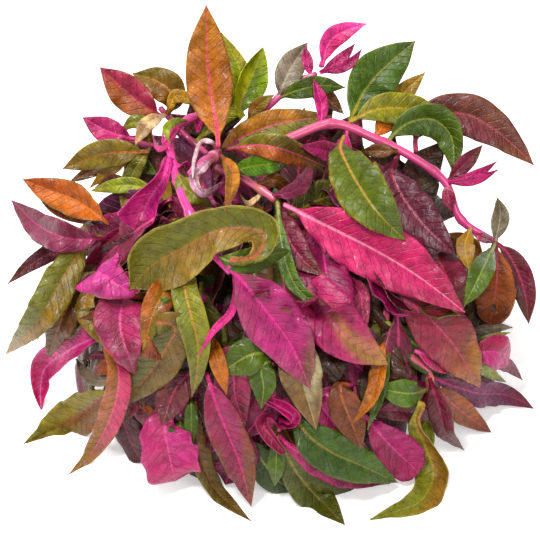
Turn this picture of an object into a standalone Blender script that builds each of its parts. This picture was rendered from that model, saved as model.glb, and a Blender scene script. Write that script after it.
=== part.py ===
"""Alternanthera reineckii: a heap of cut leafy stems lying on a flat surface.

Arching stems rise from the middle of the heap and bend outward on every side. Lance-shaped
leaves grow from them and lie over one another like shingles, the lowest ones flat on the surface.
Places are given as an observer sees them who looks down at the heap at 40 degrees: right and up
in millimetres across the sight line, then depth toward the observer. The far side of the heap is
given in the same way by a second observer, opposite the first.
"""
import math

import bmesh
import bpy
import numpy as np

# Driving dimensions in millimetres
MM = 0.001
EYE_DISTANCE = 700.0
EYE_ELEVATION = math.radians(40)
HEAP_CENTRE_HEIGHT = 48.0
HEAP_WIDTH, HEAP_DEPTH, HEAP_HEIGHT = 188.0, 180.0, 92.0
EDGE_DEPTH = -8.0
LEAF_THICKNESS = 0.8
LEAF_GAP = 0.45
PETIOLE_HALF_WIDTH = 1.0
PETIOLE_RISE = 11.0
STEM_CLEARANCE = 1.2
JOINT_REACH = 5.0
TRUNK_RING, TRUNK_FOOT, TRUNK_BEND = 17.0, -1.0, 42.0
STEM_STEP = 14.0
MOUNT_SHIFT = (0.0, -3.5)

SIN, COS = math.sin(EYE_ELEVATION), math.cos(EYE_ELEVATION)
FRONT, BACK = 1, -1

# Leaf tissue colours, as sRGB
TINTS = {
    "orange": "B5572A", "rust": "8A3A28", "hot_pink": "D8407E", "magenta": "B02E62", "mauve": "9A5068",
    "wine": "6E2438", "brown": "6B4030", "olive": "757318", "olive_rust": "8C6424", "green": "4C7020",
    "lime": "98A42C", "amber": "B58420", "grey": "84706C", "cream": "DDB8A4", "dark": "241410",
    "rose": "A84458", "purple": "7A3A5C", "stem": "C8466E",
}

# Stems: sprig, side, thickness at start and end, bearing of the trunk in degrees or None for a shoot
# that lies on the heap, then places (right, up, height above the heap's mean surface)
STEMS = {
    "left": (FRONT, 4.0, 2.6, 169, (-46, 35, -14), (-58, 24, -12), (-66, 10, -11),
             (-69, -6, -11), (-69, -22, -11)),
    "lower_left": (FRONT, 4.0, 2.6, 200, (-26, 30, -20), (-40, 14, -18), (-49, -6, -16), (-56, -24, -14),
                   (-60, -40, -12), (-58, -52, -10)),
    "front_left": (FRONT, 4.2, 2.6, 232, (-14, 30, -22), (-20, 8, -20), (-22, -14, -18), (-26, -34, -15),
                   (-31, -50, -12), (-36, -60, -10)),
    "centre": (FRONT, 4.2, 2.6, 265, (1, 28, -22), (4, 4, -20), (3, -18, -18), (4, -38, -15), (5, -54, -12),
               (3, -66, -10)),
    "middle": (FRONT, 4.2, 2.6, 298, (16, 26, -22), (26, 2, -19), (30, -20, -17), (33, -40, -14), (36, -56, -12)),
    "lower_right": (FRONT, 4.4, 3.0, 330, (32, 24, -20), (42, 6, -16), (47.5, -10, -10), (46.5, -23, -8),
                    (50.5, -31.5, -7), (58, -35, -8), (64, -44, -9), (62, -58, -9)),
    "far_right": (FRONT, 4.0, 2.6, -2, (64, 18, -14), (73, 2, -12), (78, -16, -11), (79, -32, -10),
                  (74, -44, -9)),
    "upper_left": (FRONT, 3.6, 2.4, 132, (-24, 46, -14), (-34, 54, -8), (-40, 62, -4), (-45, 66, -3)),
    "left_upper": (FRONT, 3.6, 2.4, 149, (-33, 46, -14), (-43, 48, -9), (-52, 50, -7), (-59, 52, -6)),
    "top": (FRONT, 3.2, 2.4, None, (-9, 59, -3), (-1.5, 64.5, 0), (3, 69.5, 0), (7, 73, 0), (13, 75.5, 1),
            (20, 79, 2)),
    "right": (FRONT, 4.0, 3.0, None, (-2, 48, 0), (8, 52, 1), (15, 54.5, 2), (27, 58, 3), (40, 53, 4), (55, 46, 4),
              (66, 38.5, 3), (70, 35, 2), (68.5, 28.5, 2), (76, 20.5, 2), (82, 16.5, 2), (90, 11, 2)),
    "centre_upper": (FRONT, 3.4, 3.0, None, (-22, 41, -1), (-14, 38.5, 0), (-5, 33, 1), (3, 27.5, 1)),
    "front": (FRONT, 3.0, 3.8, None, (-28, 62, -1), (-34.5, 63.5, 0), (-38.5, 58.5, 1), (-38.5, 49, 1),
              (-37, 38, 2), (-32.5, 25, 2), (-26, 12, 1), (-20, 2.5, 1), (-14, -1.5, 1)),
    "crown": (FRONT, 4.0, 3.6, None, (-31, 35, 1), (-27, 39.5, 3), (-23.5, 43, 5), (-20.5, 47, 7)),
    "back_1": (BACK, 4.0, 2.6, 24, (-57, -10, -15), (-71, -24, -12), (-76, -38, -11), (-78, -46, -10)),
    "back_2": (BACK, 4.0, 2.6, 47, (-30, -12, -16), (-43, -26, -14), (-51, -42, -12), (-54, -58, -10)),
    "back_3": (BACK, 4.2, 2.6, 70, (-21, -18, -16), (-26, -42, -13), (-31, -60, -11),
               (-36, -72, -10)),
    "back_4": (BACK, 4.2, 2.6, 94, (6, -22, -16), (5, -46, -13), (2, -64, -11), (6, -76, -10)),
    "back_5": (BACK, 4.0, 2.6, 114, (30, -17, -16), (40, -36, -13), (42, -54, -11), (38, -68, -10)),
}

# Leaves from the deepest to the topmost: name, sprig, tint, width, roll at base and tip, fold, height above
# the mean surface at base and tip, then places (right, up) along the midrib. A name that begins with leaf is
# a piece of its own, and the others are one piece with their stem.
LEAVES = (
    ("dark_1", "left", "dark", 16, 0, 0, 8, -11, -9, (-58, 22), (-50, 6), (-46, -8)),
    ("dark_2", "left", "dark", 15, 10, 0, 8, -11, -9, (-68, 4), (-76, -8), (-80, -22)),
    ("dark_3", "lower_left", "dark", 17, 0, 0, 8, -15, -11, (-50, -10), (-42, -16), (-34, -28)),
    ("dark_4", "lower_left", "dark", 15, 0, 0, 8, -13, -10, (-46, -30), (-44, -46)),
    ("dark_5", "front_left", "dark", 18, 0, 0, 8, -18, -12, (-20, 4), (-12, -10), (-10, -30)),
    ("dark_6", "front_left", "dark", 17, 0, 0, 8, -17, -12, (-22, -14), (-30, -28), (-34, -46)),
    ("dark_7", "front_left", "dark", 15, 0, 0, 8, -14, -10, (-25, -32), (-18, -46), (-14, -62)),
    ("dark_8", "centre", "dark", 18, 0, 0, 8, -18, -12, (4, 6), (12, -6), (16, -26)),
    ("dark_9", "centre", "dark", 17, 0, 0, 8, -17, -12, (3, -16), (-6, -34), (-8, -52)),
    ("dark_10", "centre", "dark", 16, 0, 0, 8, -14, -10, (4, -36), (14, -50), (22, -66)),
    ("dark_11", "middle", "dark", 18, 0, 0, 8, -17, -12, (26, 4), (36, -10), (40, -28)),
    ("dark_12", "middle", "dark", 17, 0, 0, 8, -16, -12, (30, -20), (22, -36), (22, -54)),
    ("dark_13", "middle", "dark", 16, 0, 0, 8, -13, -10, (33, -38), (44, -50), (50, -64)),
    ("dark_14", "lower_right", "dark", 17, 0, 0, 8, -13, -10, (44, 0), (56, -12), (62, -30)),
    ("dark_15", "lower_right", "dark", 16, 0, 0, 8, -12, -9, (46.5, -22), (46, -38), (52, -56)),
    ("dark_17", "far_right", "dark", 16, 0, 0, 8, -11, -8, (76, -6), (84, -18), (88, -34)),
    ("dark_18", "upper_left", "dark", 16, 0, 0, 8, -8, -6, (-34, 54), (-24, 60), (-10, 62)),
    ("dark_19", "left_upper", "dark", 15, 0, 0, 8, -9, -7, (-44, 48), (-50, 40), (-60, 32)),
    ("dark_20", "middle", "dark", 17, 0, 0, 8, -18, -9, (18, 28), (26, 42), (30, 58)),
    ("dark_21", "far_right", "dark", 17, 0, 0, 8, -14, -7, (60, 22), (60, 38), (70, 52)),
    ("dark_22", "lower_right", "dark", 16, 0, 0, 8, -16, -8, (34, 24), (44, 38), (50, 54)),
    # lowest leaves, round the foot of the heap
    ("leaf_olive_floor", "lower_left", "olive_rust", 18, 0, -30, 6, -4, -14, (-60, -47), (-71, -54), (-83, -62),
     (-98.5, -69.5)),
    ("green_low_1", "lower_right", "lime", 6, 20, 20, 10, -7, -9, (60, -60), (64, -73.5)),
    ("grey_curl", "lower_left", "grey", 6, 20, 30, 25, -6, -5, (-64, -44), (-72, -43.5), (-77.5, -35.5)),
    ("red_twig", "lower_left", "wine", 3.5, 0, 0, 10, -8, -7, (-63, -33), (-69, -34), (-75.5, -36.5)),
    ("brown_wedge", "lower_left", "rust", 6, 0, 20, 8, -7, -7, (-63, -35), (-71, -41.5)),
    ("wine_low_right", "far_right", "wine", 10, 0, 0, 10, -6, -4, (84, -45.5), (92, -47.5)),
    ("green_low_right", "far_right", "lime", 5, 0, 0, 8, -6, -5, (84, -39), (94.5, -45)),
    ("purple_right", "lower_right", "purple", 11.5, 20, 0, 12, -6, 0, (66, -45), (82, -49), (95, -50),
     (105.5, -55.5)),
    ("rust_low_right", "lower_right", "rust", 10, 0, 10, 10, -6, -4, (68, -49), (77, -57), (88.5, -65)),
    ("mauve_far_right", "far_right", "mauve", 7, 20, 10, 10, -6, -2, (84, -34), (94, -37.5), (101, -44)),
    ("grey_far_right", "far_right", "grey", 5, 30, 10, 10, -6, -2, (82, -26), (91, -23), (97, -23)),
    ("lime_far_right", "far_right", "lime", 3.5, 30, 10, 10, -7, -3, (82, -28), (90, -26.5), (96, -25)),
    ("leaf_red_square", "far_right", "hot_pink", 15, -10, 10, 10, -6, -3, (78, -30), (87, -32.5), (96, -34)),
    ("magenta_low_right", "middle", "wine", 8, 10, 0, 12, -6, -5, (44, -56), (55, -56.5), (67, -59.5)),
    ("dark_green_low", "lower_right", "green", 11, 10, 0, 8, -6, -4, (64, -46), (55, -49.5), (43, -47)),
    ("brown_hanging", "lower_right", "wine", 10, 25, 40, 15, -6, -8, (64, -43), (67.5, -54), (71, -66),
     (77.5, -72)),
    ("leaf_folded_floor", "lower_right", "lime", 14, 30, -35, 6, -8, -14, (58, -62), (65, -77), (63, -90),
     (53, -95.5), (40, -100)),
    ("leaf_magenta_broad", "middle", "magenta", 17, 0, -10, 12, -6, -6, (38, -58), (47, -69), (59.5, -81)),
    ("leaf_dark_olive_bottom", "centre", "olive", 15, 10, -20, 12, -6, -12, (2, -66), (10, -80), (19, -91),
     (30, -102)),
    ("green_bottom_tip", "centre", "green", 7, 10, 0, 12, -7, -8, (0, -68), (2, -86.5)),
    ("magenta_low", "centre", "magenta", 9, 20, 0, 8, -6, -10, (10, -72), (28, -82.5), (48, -85.5)),
    ("magenta_long_thin", "middle", "magenta", 10, -10, 10, 14, -7, -6, (20, -52), (29, -65), (37, -73.5),
     (46, -80.5)),
    ("leaf_green_glossy", "centre", "green", 17.5, 0, -12, 8, -4, -6, (6, -59), (19, -69.5), (34, -77), (51, -85)),
    ("leaf_brown_floor", "front_left", "brown", 9, -30, -35, 12, -6, -14, (-29, -53), (-29, -70), (-22, -88),
     (-7.5, -100.5)),
    ("green_low_left", "front_left", "green", 9, 0, 0, 10, -7, -6, (-37, -58), (-36, -67.5)),
    ("green_low_middle", "front_left", "green", 5.5, 0, 0, 10, -8, -6, (-31, -50), (-31.3, -70)),
    ("rust_twig", "lower_left", "rust", 3, 0, 0, 10, -6, -5, (-56, -50), (-50, -54), (-45.5, -62)),
    ("crimson_bits", "lower_left", "wine", 5, 20, 40, 10, -5, -3, (-57, -48), (-54, -54), (-58, -60.5)),
    ("leaf_torn_magenta", "front_left", "rose", 24, 10, -10, 4, -5, -4, (-42, -61), (-41, -70), (-38, -84.5)),
    ("leaf_mauve_brown", "front_left", "mauve", 13, 0, 5, 8, -5, -3, (-32, -37), (-38, -48), (-43, -62)),
    ("wine_rose", "front_left", "rose", 15, 0, 10, 12, -7, -5, (-16, -36), (-14, -50), (-10, -62.5)),
    ("leaf_magenta_brown", "front_left", "magenta", 15, 0, 0, 14, -3, -2, (-24, -42), (-20, -58), (-12.5, -76),
     (-7.5, -94.5)),
    ("rolled_pink", "centre", "rose", 11, 20, 20, 30, -4, -2, (-3, -61), (6, -73)),
    ("rolled_magenta", "centre", "magenta", 10, 20, 20, 30, -4, -1, (10.5, -60), (4, -55), (-4, -51)),
    ("leaf_rust_middle", "middle", "rust", 13, 10, -10, 12, -6, -3, (28, -48), (36.5, -71.5)),
    ("green_thin_middle", "lower_right", "green", 5, 0, 0, 10, -6, -3, (47, -34), (44, -49), (39, -64)),
    ("salmon_middle", "lower_right", "orange", 7, 30, 30, 12, -5, -1, (43, -34), (43.5, -46), (33, -61.5)),
    ("green_middle_tip", "centre", "green", 11, 0, 0, 12, -6, -2, (-3, -36), (-2.5, -46), (-3.5, -55.5)),
    ("leaf_green_crinkled", "centre", "green", 14, 10, -10, 8, -5, -1, (2, -31), (-8, -34), (-19.5, -41)),
    ("leaf_grey_front", "centre", "grey", 16, 0, 0, 8, -5, 0, (8, -20), (12, -40), (18.5, -64)),
    ("pink_brown_small", "front_left", "orange", 6.5, 10, -10, 14, -6, -2, (-21, -21), (-21, -36), (-17.3, -50)),
    ("dark_green_left", "lower_left", "green", 10, 0, 0, 10, -8, -5, (-38.5, -17), (-33.5, -27)),
    ("leaf_olive_wide", "lower_left", "olive", 18, 10, 0, 10, -6, -3, (-38, -23), (-46, -38), (-59, -54.5)),
    ("brown_crumple", "lower_left", "rust", 8, 20, 20, 15, -5, -2, (-52, -28), (-43, -36)),
    ("leaf_hot_pink_left", "lower_left", "hot_pink", 14, 30, -25, 15, -5, 0, (-66, -26), (-80, -32), (-91, -41),
     (-91.5, -56)),
    ("leaf_pink_olive", "lower_left", "hot_pink", 11, -15, 20, 12, -3, -6, (-65, -28), (-60, -43), (-64, -59),
     (-71, -73), (-80.7, -82)),
    ("grey_left", "left", "grey", 8, 20, 20, 14, -8, -6, (-75, -15), (-80.5, -28.5)),
    ("dark_brown_left", "left", "brown", 14, 15, 0, 12, -6, -4, (-74, -3), (-82, -17), (-89, -35.5)),
    ("cream_edge", "left", "cream", 5, 20, 0, 8, -7, -4, (-76, -3), (-87, -15), (-93, -28)),
    ("rust_under_left", "left", "rust", 9, 10, 0, 10, -8, -5, (-72, 22), (-84, 25), (-95, 33.5)),
    ("pink_gloss_left", "left", "cream", 6, 10, 0, 12, -5, -3, (-71, 18), (-82, 0)),
    ("wine_narrow_left", "left", "wine", 4.5, 10, 0, 10, -5, -3, (-69, 19), (-73, 6)),
    ("purple_narrow_left", "left", "wine", 8, 10, 0, 12, -6, -2, (-80, 10), (-93, 4), (-105, -5.6)),
    ("leaf_olive_long", "left", "olive", 16, 15, -5, 12, -4, -1, (-73, 12), (-83, -4), (-92, -19), (-106, -34)),
    ("orange_crescent", "left", "olive_rust", 8.5, 15, 20, 10, -6, -2, (-72, -3), (-74, -15), (-64, -32)),
    ("leaf_mauve_left", "lower_left", "rose", 20, 0, 10, 12, -4, 0, (-54, -4), (-60, -20), (-54, -42)),
    ("leaf_orange_flank", "lower_left", "orange", 11.5, -15, 0, 8, -4, 2, (-36, -1), (-45, -13), (-51, -32.5)),
    ("rose_upright", "middle", "rose", 7, 20, -10, 14, -7, -5, (35, -6), (38, -25.5)),
    ("leaf_deep_rose", "centre", "magenta", 21.5, 0, -5, 12, -7, -1, (10, 1), (22, -17), (34, -29.5), (47.5, -38)),
    ("leaf_pink_red", "lower_right", "hot_pink", 10, -15, 0, 12, -5, -2, (54, -35), (65, -35), (79, -39)),
    ("leaf_rose_brown", "lower_right", "rose", 22, 0, 0, 12, -3, 1, (50, -8), (62, -18), (73, -29.5), (84, -47)),
    ("pink_petiole_front", "front_left", "hot_pink", 3, 0, 0, 10, -6, -2, (-24, -14), (-29, -9)),
    ("leaf_green_long", "front_left", "olive", 12, 10, -5, 14, -5, 1, (-34, 1), (-32, -16), (-28.5, -34),
     (-31.3, -51)),
    # upper left edge
    ("olive_brown_back", "upper_left", "olive_rust", 14, 0, 0, 10, -5, 0, (-38, 68), (-44, 75), (-55, 78.5)),
    ("leaf_rust_upper_left", "upper_left", "rust", 15, -10, 0, 12, -3, 2, (-40, 66), (-54, 68.5), (-68, 81)),
    ("amber_upper_left", "upper_left", "amber", 6, 0, 0, 10, -3, 0, (-37, 70), (-27, 65)),
    ("olive_upper_left", "left_upper", "olive", 7, 20, 0, 10, -5, -2, (-47, 54), (-52, 60), (-60, 55)),
    ("green_crinkle_left", "left_upper", "green", 7, 0, 0, 15, -4, -2, (-53, 44), (-45, 38)),
    ("brown_edge_left", "left_upper", "brown", 7, 10, 0, 10, -6, -4, (-60, 46), (-80.5, 35)),
    ("amber_edge_left", "left_upper", "amber", 6, 10, 0, 10, -6, -4, (-58, 46), (-72, 33)),
    ("olive_slip_left", "left", "olive_rust", 6, 0, 0, 10, -6, -3, (-43, 36), (-40, 25)),
    ("dark_edge_left", "left", "wine", 6, 10, 0, 10, -7, -5, (-60, 36), (-70, 33)),
    ("olive_upright_left", "left_upper", "olive", 8, 20, 10, 12, -3, -1, (-48, 47), (-55, 38), (-59, 22)),
    ("leaf_magenta_far_left", "left_upper", "magenta", 11, 10, 0, 10, -5, -1, (-53, 50), (-64, 55), (-75, 61)),
    ("lime_left", "left", "lime", 7, 0, 0, 10, -8, -5, (-57, 34), (-72, 31.5)),
    ("leaf_olive_far_left", "left_upper", "olive", 12.5, -10, 0, 12, -3, 1, (-52, 49), (-66, 46.5), (-83, 40.5)),
    ("leaf_orange_left", "left", "orange", 14.5, -15, 0, 12, -5, 0, (-66, 18), (-76, 27), (-86, 31), (-99, 36.3)),
    ("grey_purple_left", "left", "mauve", 14, -10, 0, 12, -6, -3, (-75, 12), (-90, 16), (-103.5, 28)),
    # upper edge behind the crown
    ("gold_behind_crown", "upper_left", "lime", 10, 10, 0, 12, -5, -2, (-12, 70), (-13, 82), (-19.5, 95)),
    ("stem", "top"),
    ("leaf_yellow_folded", "top", "lime", 15, 20, 0, 20, -4, 1, (-12, 66), (-7, 78), (-2.7, 89)),
    ("grey_brown_top", "top", "grey", 12, -10, 0, 12, -6, -1, (3, 68), (8, 80), (15, 91)),
    ("brown_top_right", "top", "brown", 8, 0, 0, 10, -6, -3, (14, 72), (21, 70), (29.5, 62.5)),
    ("dark_green_top", "top", "green", 9, 10, 0, 10, -5, -1, (6, 68), (17, 73.5), (30, 73)),
    ("olive_beside_top", "top", "olive_rust", 6, 0, 0, 10, 2, 3, (-10, 61), (-5, 65.5), (1.5, 70)),
    ("magenta_pair_1", "top", "magenta", 5, 0, 0, 15, 1, 2, (19, 78.5), (28, 84), (34, 90.5)),
    ("magenta_pair_2", "top", "magenta", 5, 20, 0, 15, -1, 1, (22, 77), (31, 82), (36.7, 88.3)),
    ("small_magenta_top", "top", "magenta", 5, 0, 0, 15, 0, 2, (15, 77), (15, 83), (14, 89.5)),
    ("leaf_pink_tip", "top", "hot_pink", 9, 30, -20, 15, 2, 6, (19, 80), (23.5, 91), (30, 95.5), (38.5, 98.5)),
    ("orange_brown_top", "upper_left", "olive_rust", 13, 0, -5, 10, -1, 1, (-12, 52.5), (0, 57.5), (12, 60),
     (25, 61.5)),
    # on the right, hanging from the right stem
    ("wine_dark_right", "far_right", "wine", 17, 0, 0, 10, -7, -4, (66, 8), (77.5, -16)),
    ("stem", "right"),
    ("amber_low_right", "right", "amber", 8, 0, 0, 10, -2, -3, (78, 10), (79.5, 0)),
    ("amber_top_right", "right", "amber", 10, 10, 0, 12, -4, -1, (44, 57), (52, 69), (62, 79)),
    ("leaf_green_top_right", "right", "green", 20, 0, 5, 14, -1, 1, (28, 60), (38, 72), (47, 82), (58, 91.5)),
    ("orange_behind_right", "right", "orange", 9, 0, 0, 10, -2, -1, (41, 54), (48, 60), (56, 57)),
    ("leaf_purple_brown_right", "right", "wine", 18, 10, -10, 12, -2, 1, (60, 58), (74, 63), (90, 56),
     (105.5, 42)),
    ("leaf_olive_yellow", "right", "lime", 13.5, 0, 0, 12, 2, 2, (30, 59.5), (42, 64), (55, 64.5), (71, 61.5)),
    ("pale_green", "right", "green", 15, 10, 30, 14, 2, 3, (53, 58), (66, 60), (73, 52), (73.5, 38)),
    ("rust_small_right", "right", "wine", 7, 10, 0, 12, 0, 1, (73, 38), (85, 50)),
    ("magenta_fork_1", "right", "magenta", 4, 0, 0, 15, 1, 2, (73, 36.5), (82, 38), (91, 43.5)),
    ("magenta_fork_2", "right", "magenta", 4.5, 10, 0, 15, 1, 2, (73, 35), (82, 36), (91, 40)),
    ("rose_hanging", "right", "rose", 6, 10, 0, 12, 0, 0, (70, 33), (72.5, 23.5)),
    ("mauve_slip", "right", "mauve", 7, 10, 0, 14, -1, 2, (46, 38), (29.5, 50.5)),
    ("brown_small_right", "right", "brown", 6, 0, 0, 10, -2, -1, (48, 45), (36, 47.5)),
    ("leaf_wine_grey", "right", "wine", 18, 0, 0, 12, -3, 0, (49, 37), (59, 21), (74, 6)),
    ("bud_end", "right", "rose", 4.5, 0, 0, 25, 1, 2, (87, 12), (81, 14.5)),
    ("wine_end", "right", "wine", 11, 0, 10, 14, 0, 1, (94, 8), (101, -5), (103.5, -21.5)),
    ("red_end", "right", "rust", 17, -5, 0, 14, -2, -3, (91, 1), (90, -10), (88, -22)),
    ("green_end", "right", "green", 10.5, 15, 0, 14, -1, 0, (83, -4), (77.6, -14.5)),
    ("grey_green_up_end", "right", "grey", 8, 10, 0, 20, 1, 2, (90.5, 15), (92, 22), (91, 29)),
    # from the centre stem
    ("stem", "centre_upper"),
    ("bronze_curl", "centre_upper", "brown", 6, 20, 0, 15, 0, -1, (2, 36), (10.5, 29)),
    ("mauve_upright", "centre_upper", "mauve", 7, 20, 0, 15, -2, 0, (12, 33), (16.5, 43.5)),
    ("cream_hook", "centre_upper", "cream", 2.4, 0, 0, 10, -3, -2, (-4, 28.5), (-8, 26.5), (-12, 30)),
    ("green_behind_crown", "centre_upper", "green", 9, 0, 0, 10, -1, 0, (-13, 41), (-4, 42), (9, 43)),
    ("wine_under_magenta", "centre_upper", "wine", 12, 0, 0, 10, -2, -1, (3, 23), (9, 9), (21, -2.5)),
    ("dark_green_narrow", "centre_upper", "green", 6.5, 10, 0, 14, 0, 3, (4, 14), (8, 0), (14, -12), (25.5, -17.5)),
    ("leaf_magenta_long", "centre_upper", "magenta", 24, 5, -5, 12, 0, 3, (7, 25.5), (22, 18), (40, 9), (60, -3),
     (78, -17)),
    # round the front stem
    ("brown_glossy", "front_left", "brown", 11, 0, 0, 12, -6, -2, (-31, 5)),
    ("stem", "front"),
    ("pink_petiole_1", "front", "hot_pink", 2.4, 0, 0, 10, 1, 3, (-41.5, 50), (-43, 57)),
    ("pink_petiole_2", "front", "hot_pink", 3, 0, 0, 10, 1, 3, (-43.5, 48), (-47.5, 55)),
    ("pink_petiole_3", "front", "hot_pink", 2.6, 0, 0, 10, 2, 4, (-36, 39.5), (-32.5, 42.5), (-31, 36.5)),
    ("lime_curl", "front", "lime", 4, 20, 0, 15, 1, 2, (-41, 58), (-40, 50)),
    ("pink_drop", "front", "hot_pink", 3.2, 0, 0, 10, 1, 2, (-31.5, 60), (-29, 54.5)),
    ("olive_beside_stem", "front", "olive", 9, 10, 0, 10, -1, 0, (-33, 32), (-22.5, 25)),
    ("green_under_curl", "front", "green", 10, 0, 0, 10, -2, 0, (-15, 3), (-4, 5), (8.5, 8)),
    ("pink_line_front", "front", "hot_pink", 3.2, 0, 0, 10, 1, 3, (-14, -14), (-21, -22), (-28.5, -34)),
    ("leaf_magenta_front", "front", "hot_pink", 22.5, 0, 0, 14, 1, 3, (-12, -3.5), (-1, -17), (9, -31), (16, -47.5)),
    ("leaf_pink_cone", "front", "hot_pink", 18, 0, 10, 14, 0, 1, (-43, 36), (-48.5, 28), (-53.5, 15.5)),
    ("leaf_pink_triangle", "left", "hot_pink", 15, 0, 10, 10, -3, 2, (-69, 3), (-62, -5), (-53.5, -10.4)),
    ("leaf_olive_curled", "front", "olive", 18, 30, -5, 14, 2, 4, (-3, 6), (-1, 13), (-10, 17.5), (-23, 15),
     (-36, 8), (-47, 2), (-56.5, -8)),
    # crown
    ("salmon_fold_top", "right", "hot_pink", 6, 20, 20, 20, 2, 5, (19, 58), (20.5, 66), (17.3, 76.5)),
    ("cream_dried", "upper_left", "cream", 7, 10, 20, 15, 0, 0, (-42.5, 67), (-48, 59), (-54, 50)),
    ("stem", "crown"),
    ("cream_cup", "crown", "cream", 8, 10, 20, 25, 3, 3, (-31, 34.5), (-25, 30.5), (-18.5, 35)),
    ("leaf_crown_right", "crown", "olive_rust", 11.5, 10, 0, 12, 4, 3, (-17, 48), (-6, 50), (6, 48), (24.5, 40.5)),
    ("orange_narrow_down", "crown", "orange", 6, 10, 0, 14, 3, 6, (-16, 42), (-15, 34), (-18, 24)),
    ("cream_ribbon", "crown", "cream", 5, 20, 30, 15, 5, 4, (-25, 53), (-29.5, 47), (-31, 37)),
    ("leaf_crown_orange", "crown", "orange", 19.5, -5, 5, 14, 8, 22, (-20.5, 52), (-23.5, 70), (-25, 85), (-25.5, 106)),
    ("magenta_top", "right", "magenta", 9.5, 0, 10, 12, 4, 5, (29, 47), (21, 48), (12, 49.5)),
    ("leaf_green_front", "right", "green", 21.5, 0, 0, 16, 5, 5, (28, 50), (33, 38), (43, 23), (54, 12)),
)
CONES = {"leaf_pink_cone"}
BLUNT = {"leaf_torn_magenta", "leaf_red_square", "leaf_magenta_broad", "red_end"}

# The far side's leaves grow in pairs at these parts of each stem's length, the lowest laid first
FAR_NODES = (0.97, 0.74, 0.5, 0.24)
FAR_ANGLE, FAR_BEND = (28, 52), (10, 40)
FAR_LENGTH, FAR_WIDTH = (31, 43), (14, 19)
FAR_TINTS = ("olive", "magenta", "rust", "rose", "green", "wine", "orange", "olive_rust", "mauve", "hot_pink")
FAR_ROLL_BASE, FAR_ROLL_TIP, FAR_FOLD = (-10, 10), (-15, 5), 10
FAR_HEIGHT_BASE, FAR_HEIGHT_TIP, FAR_HEIGHT_END = -5, -2, -8
FAR_END_PART, FAR_MIDDLE_PART, FAR_BACKSTEP = 0.8, 0.45, 0.04
FAR_SEED = 12
FAR_COVER, FAR_LIFT = 2.0, 20.0

# Stations along a leaf, as parts of its length: close together where the outline turns
LARGE_STATIONS = np.array((0, .1, .27, .47, .67, .86, 1))
SMALL_STATIONS = np.array((0, .14, .4, .7, 1))
HIDDEN_STATIONS = np.array((0, .3, .65, 1))
LARGE_AREA, SMALL_AREA = 450.0, 90.0
BLADE_STEPS = 4

# The outline of a leaf: the part that is stalk, how fast it widens, and how fast it narrows to its tip
STALK_PART, WIDENING = 0.07, 0.85
NARROWING, CONE_NARROWING, BLUNT_NARROWING = 1.05, 0.15, 0.45

# Laying a piece on those before it: rounds of raising, and the sharpest kink that raising leaves
STEM_ROUNDS, STEM_RISE_PART = 12, 0.8
BLADE_ROUNDS, BLADE_RISE_FACTOR, BLADE_KINK = 30, 1.5, 1.5
SLIMMING_ROUNDS, SLIMMING = 12, 0.85
LEAST_ADVANCE = 0.25
FLOOR_BODY_PART = 0.6

# Joints: a leaf leaves its stem sideways, where the pieces before it leave the stem in reach
JOINT_ROOM = 3.5
JOINT_COVER = 2.5
COVERED_COST = 4.0
JOINT_RISE_PART = 0.3
JOINT_SIDEWAYS = 0.9


def heap_depth(right, up):
    """Depth of the heap's mean surface, half an ellipsoid on the floor, and EDGE_DEPTH past its edge."""
    height = HEAP_CENTRE_HEIGHT + COS * up
    a = (2 * COS / HEAP_DEPTH) ** 2 + (SIN / HEAP_HEIGHT) ** 2
    b = 2 * (SIN * height / HEAP_HEIGHT ** 2 - SIN * COS * up * (2 / HEAP_DEPTH) ** 2)
    c = (2 * right / HEAP_WIDTH) ** 2 + (2 * SIN * up / HEAP_DEPTH) ** 2 + (height / HEAP_HEIGHT) ** 2 - 1
    root = np.sqrt(np.maximum(b * b - 4 * a * c, 0))
    return np.maximum((root - b) / (2 * a), EDGE_DEPTH)


def floor_depth(up):
    """Depth at which a sight line meets the floor."""
    return -(HEAP_CENTRE_HEIGHT + COS * up) / (SIN - COS * up / EYE_DISTANCE)


def spread(places):
    """Seen places (right, up, depth) as true lengths: what is near the eye is smaller than it looks."""
    scale = 1 - places[..., 2:] / EYE_DISTANCE
    return np.concatenate((places[..., :2] * scale, places[..., 2:]), axis=-1)


def seen(points):
    """The inverse of spread."""
    scale = 1 - points[..., 2:] / EYE_DISTANCE
    return np.concatenate((points[..., :2] / scale, points[..., 2:]), axis=-1)


def to_world(points, side):
    """Lengths across and along the sight line as world millimetres, +Z up and the floor at 0."""
    right, up, depth = points[..., 0], points[..., 1], points[..., 2]
    return np.stack((side * right, side * (SIN * up - COS * depth),
                     HEAP_CENTRE_HEIGHT + COS * up + SIN * depth), axis=-1)


def from_world(points, side):
    """The inverse of to_world."""
    x, y, height = points[..., 0], side * points[..., 1], points[..., 2] - HEAP_CENTRE_HEIGHT
    return np.stack((side * x, SIN * y + COS * height, SIN * height - COS * y), axis=-1)


def unit(vectors):
    return vectors / np.maximum(np.linalg.norm(vectors, axis=-1, keepdims=True), 1e-9)


def smooth_path(places, stations):
    """Places at the given parts of the length of a smooth curve through the listed ones."""
    knots = np.array(places, dtype=float)
    ghosts = np.vstack((2 * knots[0] - knots[1], knots, 2 * knots[-1] - knots[-2]))
    step = np.linspace(0, 1, 16, endpoint=False)[:, None]
    fine = [0.5 * (2 * b + (c - a) * step + (2 * a - 5 * b + 4 * c - d) * step ** 2
                   + (3 * b - a - 3 * c + d) * step ** 3)
            for a, b, c, d in zip(ghosts, ghosts[1:], ghosts[2:], ghosts[3:])]
    fine = np.vstack(fine + [knots[-1:]])
    run = np.concatenate(([0], np.cumsum(np.linalg.norm(np.diff(fine, axis=0), axis=1))))
    return np.column_stack([np.interp(stations * run[-1], run, fine[:, k]) for k in range(fine.shape[1])])


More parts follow.
